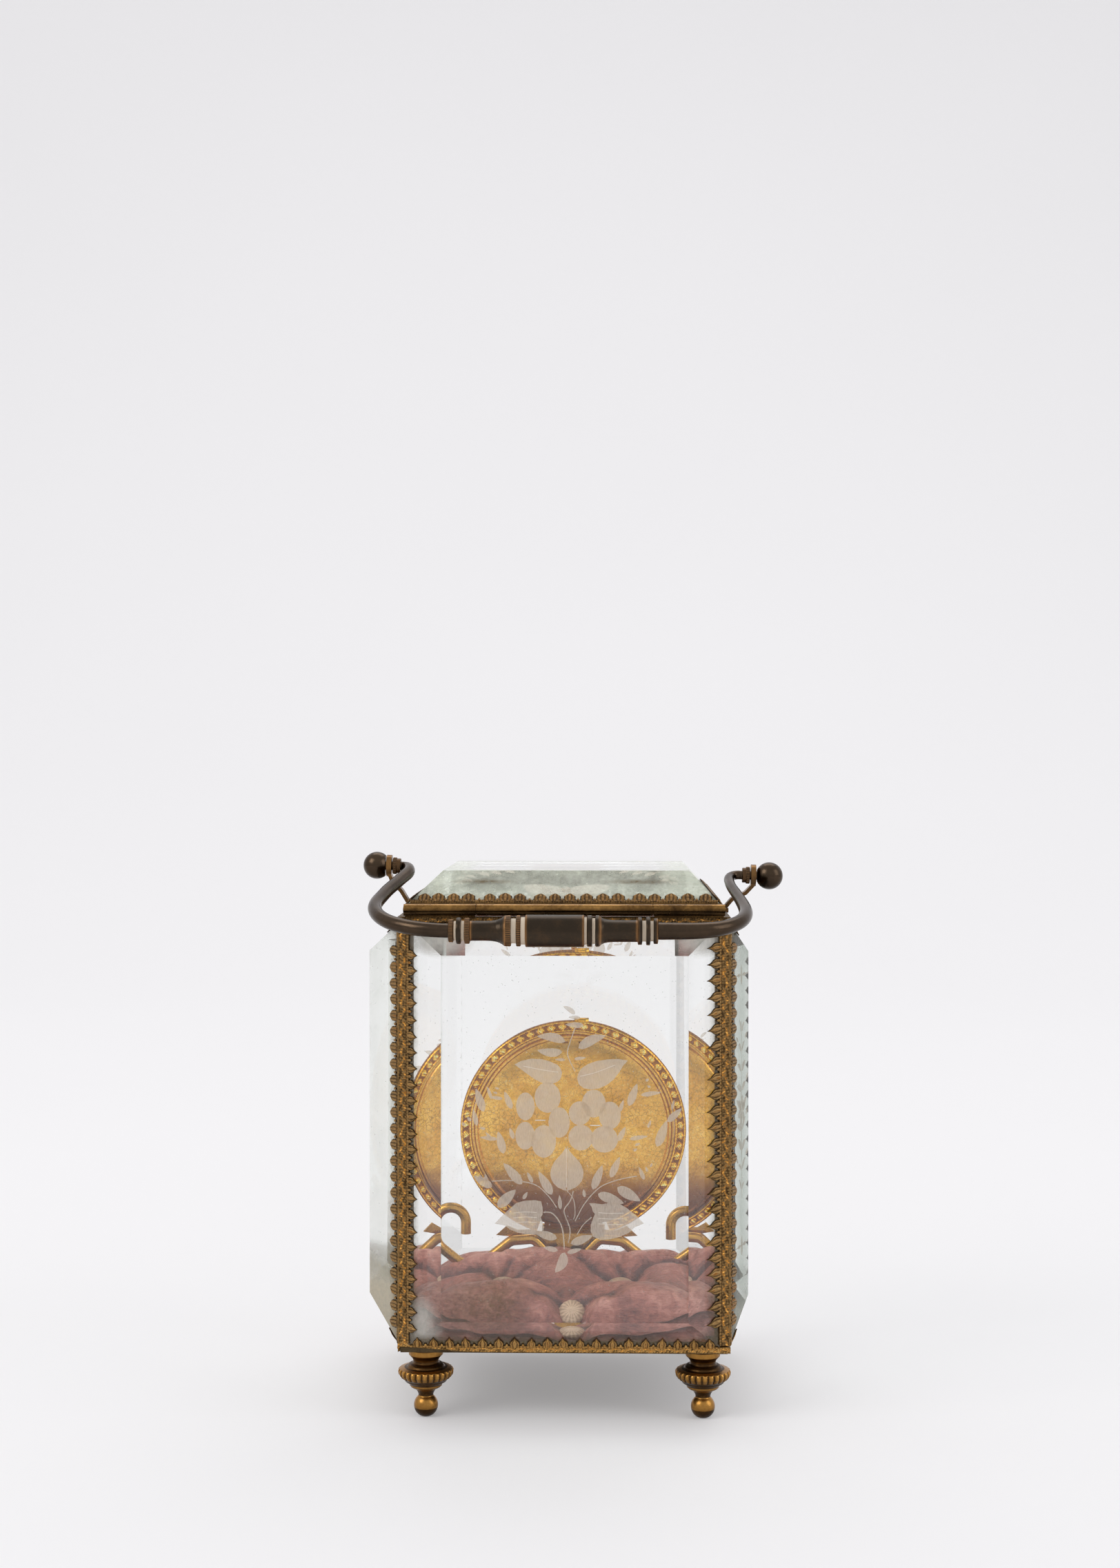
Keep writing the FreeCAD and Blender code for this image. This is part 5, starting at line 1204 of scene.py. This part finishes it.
nx, ny = 150, 134
gx = np.linspace(-1, 1, nx)
gy = np.linspace(-1, 1, ny)
# denser near the edges, where the top rolls over into the sides
gx = np.sin(gx * math.pi / 2 * 0.86) / math.sin(math.pi / 2 * 0.86)
gy = np.sin(gy * math.pi / 2 * 0.86) / math.sin(math.pi / 2 * 0.86)
GX, GY = np.meshgrid(gx * 37.8, gy * 34.1, indexing="ij")
corner = np.clip((np.abs(GX) / 37.8) ** 6 * (np.abs(GY) / 34.1) ** 6, 0, 1)
GXc, GYc = GX * (1 - 0.035 * corner), GY * (1 - 0.035 * corner)
ZT = cushion_top(GXc, GYc)
wr = np.random.default_rng(11)
for _ in range(26):
    a = wr.uniform(0, math.pi)
    kk = wr.uniform(0.25, 1.1)
    ph = wr.uniform(0, 6.28)
    ZT = ZT + 0.10 / (0.6 + kk) * np.sin((GXc * math.cos(a) + GYc * math.sin(a)) * kk + ph + 0.8 * np.sin(GXc * 0.13 + GYc * 0.09 + ph))
ZT = np.maximum(ZT, 21.2)
top = np.stack([GXc, GYc, ZT], -1)
bot = np.stack([GXc * 0.975, GYc * 0.975, np.full_like(ZT, 20.75)], -1)
mesh = Mesh()
# painted shade and light for the satin: low in the creases, higher on the swells and with height, so creases dark and
# crests light
painted_crease_shade = np.clip(-0.06 + 0.62 * (1 - np.exp(-cushion_top.near / 1.3)) + 0.035 * (ZT - 29), 0, 1)
nuv = nx * ny
f = grid_faces(nx, ny) + [tuple(reversed(q)) for q in grid_faces(nx, ny, base=nuv)]
ring = [j for j in range(ny)] + [i * ny + ny - 1 for i in range(1, nx)] + [(nx - 1) * ny + j for j in range(ny - 2, -1, -1)] + [i * ny for i in range(nx - 2, 0, -1)]
for k in range(len(ring)):
    a, b = ring[k], ring[(k + 1) % len(ring)]
    f.append((b, a, a + nuv, b + nuv))
mesh.add(np.concatenate([top.reshape(-1, 3), bot.reshape(-1, 3)]), f, np.concatenate([painted_crease_shade.reshape(-1)] * 2))
cushion = mesh.obj("tufted_cushion", "case", SATIN, replaces=["cushion"])
pin = np.zeros(2 * nuv)
pin[nuv:] = 1.0
edge_mask = (np.abs(GX) > 37.3) | (np.abs(GY) > 33.7) | (np.abs(GY - STAND_Y) < 1.3)
pin[:nuv][edge_mask.reshape(-1)] = 1.0
for bx, by, bz, _ in BUTTONS:
    pin[:nuv] = np.maximum(pin[:nuv], (np.hypot(GXc - bx, GYc - by) < 2.3).reshape(-1).astype(float))
par = cushion.parent
cushion.parent = None
moved = simulate(cushion, pin)
cushion.scale = (1, 1, 1)
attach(cushion, "case")
print("cushion moved", moved)
# the cloth may have swollen: keep it inside the case and off the glass
co = np.empty(len(cushion.data.vertices) * 3)
cushion.data.vertices.foreach_get("co", co)
co = co.reshape(-1, 3)
q = co * 1000 - SHIFT
q[:, 0] = np.clip(q[:, 0], -37.9, 37.9)
q[:, 1] = np.clip(q[:, 1], -34.1, 34.1)
q[:, 2] = np.clip(q[:, 2], 20.72, 36.5)
cushion.data.vertices.foreach_set("co", ((q + SHIFT) / 1000).reshape(-1))
cushion.data.update()
sub = cushion.modifiers.new("smooth", "SUBSURF")
sub.levels = sub.render_levels = 1

# fabric-covered buttons, gathered at the rim
for i, (bx, by, bz, tilt) in enumerate(BUTTONS):
    mesh = Mesh()
    prof = [(0.0, -0.6), (2.4, -0.6), (3.1, -0.15), (3.35, 0.4), (3.25, 0.95), (2.8, 1.45), (2.0, 1.85), (1.0, 2.08), (0.0, 2.12)]
    a = math.radians(tilt)
    up = np.array([0.0, -math.sin(a), math.cos(a)])
    # the buttons' 17 light and dark stripes follow the gathers: painted shade of the folds
    turned(mesh, soften(dense_profile(prof, 0.18), 2), np.array([bx, by, bz + 0.3]), up, 72,
           lambda h, r, ph: r * (1 + 0.025 * np.sin(17 * ph + 2 * np.sin(3 * ph)) * (h < 1.3)),
           lambda h, r, ph, rr_: 0.5 + 0.2 * np.sin(17 * ph))
    mesh.obj("button_%d" % i, "case", BUTTON, replaces=["cushion_buttons"] if i == 0 else ())

# ---------------------------------------------------------------- engraving
UN = 0.04051


def eng(u, v):
    """Drawing units of the back panel's design to X and Z on the glass."""
    return -29.51 + u * UN, 106.94 - v * UN


def leaf_outline(p0, p1, hw, bend=0.0, n=12, sharp=1.35, teeth=0.0, both=True):
    p0, p1 = np.array(p0, float), np.array(p1, float)
    d = p1 - p0
    L = np.hypot(*d)
    d /= L
    nrm = np.array([-d[1], d[0]])
    t = np.linspace(0, 1, n)
    w = hw * np.sin(math.pi * t ** 0.75) ** (1 / sharp)
    ridge = w * (1 + teeth * np.abs(np.sin(t * 26)))
    mid = p0 + np.outer(t * L, d) + np.outer(bend * np.sin(math.pi * t), nrm)
    up = mid + nrm * ridge[:, None]
    dn = mid - nrm * (ridge if both else w)[:, None]
    return np.concatenate([up, dn[::-1][1:-1]])


def ellipse(c, rx, ry, n=24, rot=0.0):
    a = np.linspace(0, 2 * math.pi, n, endpoint=False)
    x, y = rx * np.cos(a), ry * np.sin(a)
    return np.stack([c[0] + x * math.cos(rot) - y * math.sin(rot), c[1] + x * math.sin(rot) + y * math.cos(rot)], -1)


def ribbon(pts, w0, w1=None, n=22):
    """Smooth line through the points as a narrow ribbon."""
    w1 = w0 if w1 is None else w1
    p = np.array(pts, float)
    k = len(p)
    tt = np.linspace(0, k - 1, n)
    out = []
    for t in tt:
        i = min(int(t), k - 2)
        u = t - i
        a, b, c, d = p[max(i - 1, 0)], p[i], p[i + 1], p[min(i + 2, k - 1)]
        out.append(0.5 * (2 * b + (c - a) * u + (2 * a - 5 * b + 4 * c - d) * u ** 2 + (3 * b - a - 3 * c + d) * u ** 3))
    q = np.array(out)
    g = np.gradient(q, axis=0)
    g /= np.maximum(np.linalg.norm(g, axis=1), 1e-9)[:, None]
    nn = np.stack([-g[:, 1], g[:, 0]], -1)
    w = np.linspace(w0, w1, n)[:, None]
    return np.concatenate([q + nn * w, (q - nn * w)[::-1]])


BACK_SHAPES = []
L_ = lambda *a, **k: BACK_SHAPES.append(leaf_outline(*a, **k))
E_ = lambda *a, **k: BACK_SHAPES.append(ellipse(*a, **k))
R_ = lambda *a, **k: BACK_SHAPES.append(ribbon(*a, **k))
# top sprig
L_((800, 128), (728, 80), 15, bend=5)
L_((832, 150), (760, 146), 12)
L_((852, 196), (742, 190), 17)
L_((742, 292), (572, 262), 27, bend=12)
L_((820, 332), (985, 256), 30, bend=-12)
L_((722, 356), (572, 345), 26, bend=-8)
L_((740, 402), (680, 400), 9)
L_((795, 397), (866, 388), 10)
R_([(800, 212), (772, 290), (755, 370), (800, 470)], 3.2)
# upper leaves
BACK_SHAPES.append(np.array([(437, 430), (480, 408), (540, 395), (600, 398), (650, 412), (695, 432), (712, 452), (722, 480), (716, 510), (700, 530),
                             (668, 545), (632, 548), (600, 540), (560, 520), (520, 492), (478, 462)], float))
BACK_SHAPES.append(np.array([(1115, 405), (1060, 396), (1000, 398), (930, 408), (880, 425), (838, 452), (818, 485), (812, 515), (822, 548), (850, 572),
                             (895, 580), (945, 572), (990, 552), (1030, 520), (1062, 480), (1085, 440)], float))
# flowers
for c, rx, ry in (((635, 628), 78, 92), ((502, 682), 56, 84), ((500, 858), 58, 84), ((612, 892), 74, 98), ((704, 778), 64, 92)):
    E_(c, rx, ry)
for c, rx, ry in (((828, 722), 66, 72), ((912, 664), 72, 84), ((1008, 735), 66, 84), ((975, 878), 82, 80), ((834, 868), 74, 78)):
    E_(c, rx, ry)
# heart leaf under the flowers
a = np.linspace(0, 1, 16)
lobe = np.stack([745 - 112 * np.sin(math.pi * a ** 1.35) ** 0.72 * (0.35 + 0.75 * a), 920 + 268 * a - 26 * np.sin(math.pi * a) ** 2], -1)
BACK_SHAPES.append(np.concatenate([lobe, [(745, 1160)]]))
lobe2 = np.stack([752 + 118 * np.sin(math.pi * a ** 1.35) ** 0.72 * (0.35 + 0.75 * a), 920 + 268 * a - 26 * np.sin(math.pi * a) ** 2], -1)
BACK_SHAPES.append(np.concatenate([lobe2, [(752, 1160)]])[::-1])
# small leaves, left
for p0, p1, hw in (((252, 715), (205, 575), 25), ((212, 800), (188, 700), 15), ((176, 772), (154, 748), 11), ((140, 800), (121, 779), 9),
                   ((262, 818), (228, 812), 9), ((332, 880), (230, 868), 13), ((372, 966), (338, 832), 25), ((366, 636), (286, 626), 11),
                   ((420, 698), (376, 592), 19), ((432, 878), (408, 812), 14), ((300, 640), (272, 562), 10), ((345, 578), (318, 571), 6),
                   ((335, 604), (308, 598), 6), ((300, 880), (262, 838), 9)):
    L_(p0, p1, hw)
# small leaves, right
for p0, p1, hw in (((1122, 678), (1172, 542), 24), ((1192, 612), (1318, 594), 14), ((1222, 528), (1242, 514), 8), ((1066, 714), (1090, 642), 12),
                   ((1290, 922), (1350, 764), 28), ((1352, 772), (1440, 690), 20), ((1058, 888), (1102, 802), 17), ((1126, 876), (1236, 858), 13),
                   ((1160, 912), (1190, 902), 8), ((1236, 808), (1254, 762), 9), ((1252, 566), (1230, 556), 7), ((1380, 700), (1392, 640), 9),
                   ((1150, 946), (1172, 934), 8)):
    L_(p0, p1, hw)
# lower sprays
for p0, p1, hw in (((482, 1150), (370, 1022), 28), ((545, 1140), (512, 1076), 12), ((662, 1212), (580, 1072), 27), ((302, 1168), (192, 1102), 25),
                   ((244, 1134), (228, 1092), 9), ((268, 1142), (262, 1086), 10), ((906, 1180), (964, 1032), 25), ((1012, 1108), (1068, 982), 22), ((1214, 1120), (1182, 1042), 13),
                   ((1232, 1072), (1224, 1040), 7), ((1250, 1044), (1262, 1018), 7), ((336, 1288), (444, 1182), 32), ((488, 1240), (514, 1196), 11),
                   ((712, 1300), (706, 1214), 12), ((858, 1226), (850, 1178), 10), ((936, 1206), (1092, 1262), 30), ((1052, 1166), (1192, 1248), 32)):
    L_(p0, p1, hw)
R_([(300, 1132), (430, 1128), (560, 1152), (640, 1220), (690, 1290)], 3.0)
R_([(1170, 1098), (1060, 1120), (950, 1165), (860, 1260), (800, 1370)], 3.0)
R_([(745, 1180), (790, 1240), (800, 1320), (790, 1360)], 2.6)
R_([(790, 1190), (770, 1250), (735, 1300), (745, 1350), (770, 1420), (760, 1500)], 3.2)
R_([(610, 1318), (660, 1322), (705, 1372), (728, 1440), (735, 1540)], 4.0)
R_([(900, 1345), (850, 1390), (812, 1450)], 2.8)
# large lower leaves
big_l = [(318, 1387), (362, 1340), (405, 1300), (448, 1262), (500, 1248), (560, 1245), (596, 1252), (606, 1290), (606, 1330), (594, 1348), (606, 1378), (612, 1412), (606, 1446), (560, 1452), (505, 1450), (455, 1440), (410, 1422), (380, 1398)]
big_r = [(1212, 1382), (1160, 1330), (1110, 1290), (1062, 1262), (1010, 1258), (960, 1268), (920, 1262), (884, 1262), (900, 1285), (906, 1312), (918, 1326), (908, 1352), (894, 1392), (893, 1430), (908, 1462), (950, 1482), (1010, 1478), (1070, 1462), (1120, 1440), (1158, 1405)]
BACK_SHAPES.append(np.array(big_l, float))
BACK_SHAPES.append(np.array(big_r, float))
for p0, p1, hw in (((692, 1474), (552, 1434), 25), ((774, 1506), (906, 1456), 25), ((696, 1546), (610, 1528), 16), ((752, 1560), (840, 1536), 14)):
    L_(p0, p1, hw)
L_((738, 1558), (680, 1680), 30, bend=-14)
VEINS = [ribbon([(700, 476), (600, 462), (490, 440)], 2.2), ribbon([(830, 500), (920, 478), (1040, 432)], 2.2),
         ribbon([(560, 765), (622, 765)], 3.0), ribbon([(890, 795), (952, 795)], 3.0), ribbon([(748, 935), (748, 1168)], 2.4)]
for y in (1318, 1348, 1378):
    VEINS.append(ribbon([(430, y + 4), (500, y - 2), (570, y + 1)], 2.0))
for y in (1318, 1352, 1385):
    VEINS.append(ribbon([(940, y), (1010, y + 4), (1090, y + 2)], 2.0))


def engrave(name, body, shapes, to_xyz, normal, mat, depth=0.02, lift=0.008):
    """Each shape as a very thin closed plate on the glass."""
    mesh = Mesh()
    nrm = np.asarray(normal, float)
    for sh in shapes:
        p = np.array([to_xyz(u, v) for u, v in sh])
        n = len(p)
        a, b = p + nrm * lift, p + nrm * (lift + depth)
        f = [tuple(range(n)), tuple(reversed(range(n, 2 * n)))]
        f += [(i, i + n, (i + 1) % n + n, (i + 1) % n) for i in range(n)]
        # orientation: outward on the far side
        c = np.cross(b[1] - b[0], b[2] - b[1])
        area2 = sum(np.dot(np.cross(b[i] - b[0], b[(i + 1) % n] - b[0]), nrm) for i in range(n))
        mesh.add(np.concatenate([a, b]), f, np.full(2 * n, 0.5), flip=area2 > 0)
    return mesh.obj(name, body, mat, smooth=False)


def back_xyz(u, v):
    x, z = eng(u, v)
    return (x, -44.2, z)


engrave("engraving_back", "case", BACK_SHAPES, back_xyz, -Y, FROST)
CLEAR = frost_mat("engraving_vein", 0.60, (0.93, 0.89, 0.83))
engrave("engraving_back_veins", "case", VEINS, back_xyz, -Y, CLEAR, lift=0.032)

# far panel: the same kind of spray, a little smaller, turned round
engrave("engraving_front", "case", BACK_SHAPES, lambda u, v: (1.1 - (u - 745) * UN * 0.74, 44.2, 62.5 - (v - 880) * UN * 0.74), Y, FROST)


def vine(n_leaf, y0, y1, seed):
    """Upright spray with opposite leaves, a lozenge in the middle and a cross-stroke at either end; (across, up) in mm."""
    r = np.random.default_rng(seed)
    out = [ribbon([(0.25, y0), (-0.3, y0 * 0.4 + y1 * 0.6), (0.2, y0 * 0.75 + y1 * 0.25)], 0.10),
           ribbon([(0.2, y0 * 0.75 + y1 * 0.25), (-0.2, y0 * 0.5 + y1 * 0.5), (0.3, y0 * 0.2 + y1 * 0.8), (0.0, y1)], 0.10)]
    for i in range(n_leaf):
        t = (i + 0.5) / n_leaf
        z = y0 + (y1 - y0) * t
        k = 1 - 0.55 * abs(2 * t - 1)
        for sd in (-1, 1):
            L = r.uniform(3.6, 5.6) * k
            dz = r.uniform(1.5, 3.2)
            out.append(leaf_outline((sd * 0.4, z), (sd * (0.4 + L), z + dz), r.uniform(0.8, 1.15) * k, bend=sd * 0.3))
            if i % 2:
                out.append(leaf_outline((sd * (L + 1.0), z + dz + 0.6), (sd * (L + 3.2), z + dz + 2.0), 0.5))
    mid = (y0 + y1) / 2
    for k in range(6):
        a = k * math.pi / 3 + 0.3
        out.append(ellipse((2.3 * math.cos(a), mid + 2.3 * math.sin(a)), 1.55, 1.05, 16, a))
    for z, sgn in ((y0 - 12, 1), (y1 + 12, -1)):
        out.append(leaf_outline((0, z - 2.6), (0, z + 2.6), 0.85))
        out.append(ribbon([(-7.5, z), (7.5, z)], 0.13))
        out.append(leaf_outline((-4.2, z), (-1.2, z), 0.5))
        out.append(leaf_outline((4.2, z), (1.2, z), 0.5))
    return out


for nm, sx in (("left", -1), ("right", 1)):
    proud = HX + PROUD[nm]
    engrave("engraving_" + nm, "case", vine(9, 50.0, 96.0, 3 if sx < 0 else 5), lambda u, v: (sx * proud, sx * u, v), X * sx, FROST, depth=-0.03, lift=-0.05)

# lid: a four-petalled flower in the middle and a spray in each corner
lid_shapes = []
for k in range(4):
    a = math.radians(45 + 90 * k)
    c, sn = math.cos(a), math.sin(a)
    tip = (15.5 * c, 13.0 * sn)
    lid_shapes.append(leaf_outline((1.6 * c, 1.6 * sn), tip, 4.4, n=18, sharp=1.7))
    a2 = a + math.radians(45)
    lid_shapes.append(leaf_outline((1.8 * math.cos(a2), 1.8 * math.sin(a2)), (9.5 * math.cos(a2), 8.5 * math.sin(a2)), 1.2))
lid_shapes.append(ellipse((0, 0), 1.5, 1.5))
for sx in (-1, 1):
    for sy in (-1, 1):
        cx, cy = sx * 24.0, sy * 20.5
        lid_shapes.append(ribbon([(cx + sx * 4.0, cy + sy * 3.6), (cx, cy), (cx - sx * 8, cy + sy * 2.2), (cx - sx * 13.5, cy + sy * 4.0)], 0.14))
        lid_shapes.append(ribbon([(cx + sx * 4.0, cy + sy * 3.6), (cx + sx * 2.6, cy - sy * 5.0), (cx + sx * 3.6, cy - sy * 10.5)], 0.14))
        for (dx, dy, ex, ey, hw) in ((-1, 0.5, -3.4, -3.2, 1.1), (-4, 1.4, -6.6, -1.8, 1.0), (-7.5, 2.3, -10.2, -0.4, 0.9), (-4.2, 2.0, -6.8, 4.6, 1.0),
                                     (-8.4, 3.0, -10.8, 5.0, 0.9), (-12, 3.8, -14.8, 2.8, 0.7), (2.6, -2.4, 0.2, -4.6, 1.0), (2.7, -5.6, 0.8, -8.0, 0.9),
                                     (3.2, -4.0, 5.2, -6.2, 0.8), (3.4, -8.2, 5.2, -10.4, 0.7), (0.6, 1.4, -0.6, 4.4, 1.0)):
            lid_shapes.append(leaf_outline((cx + sx * dx, cy + sy * dy), (cx + sx * ex, cy + sy * ey), hw))
engrave("engraving_lid", "lid", lid_shapes, lambda u, v: (u, v, LID_TOP), Z, FROST, depth=-0.03, lift=-0.05)
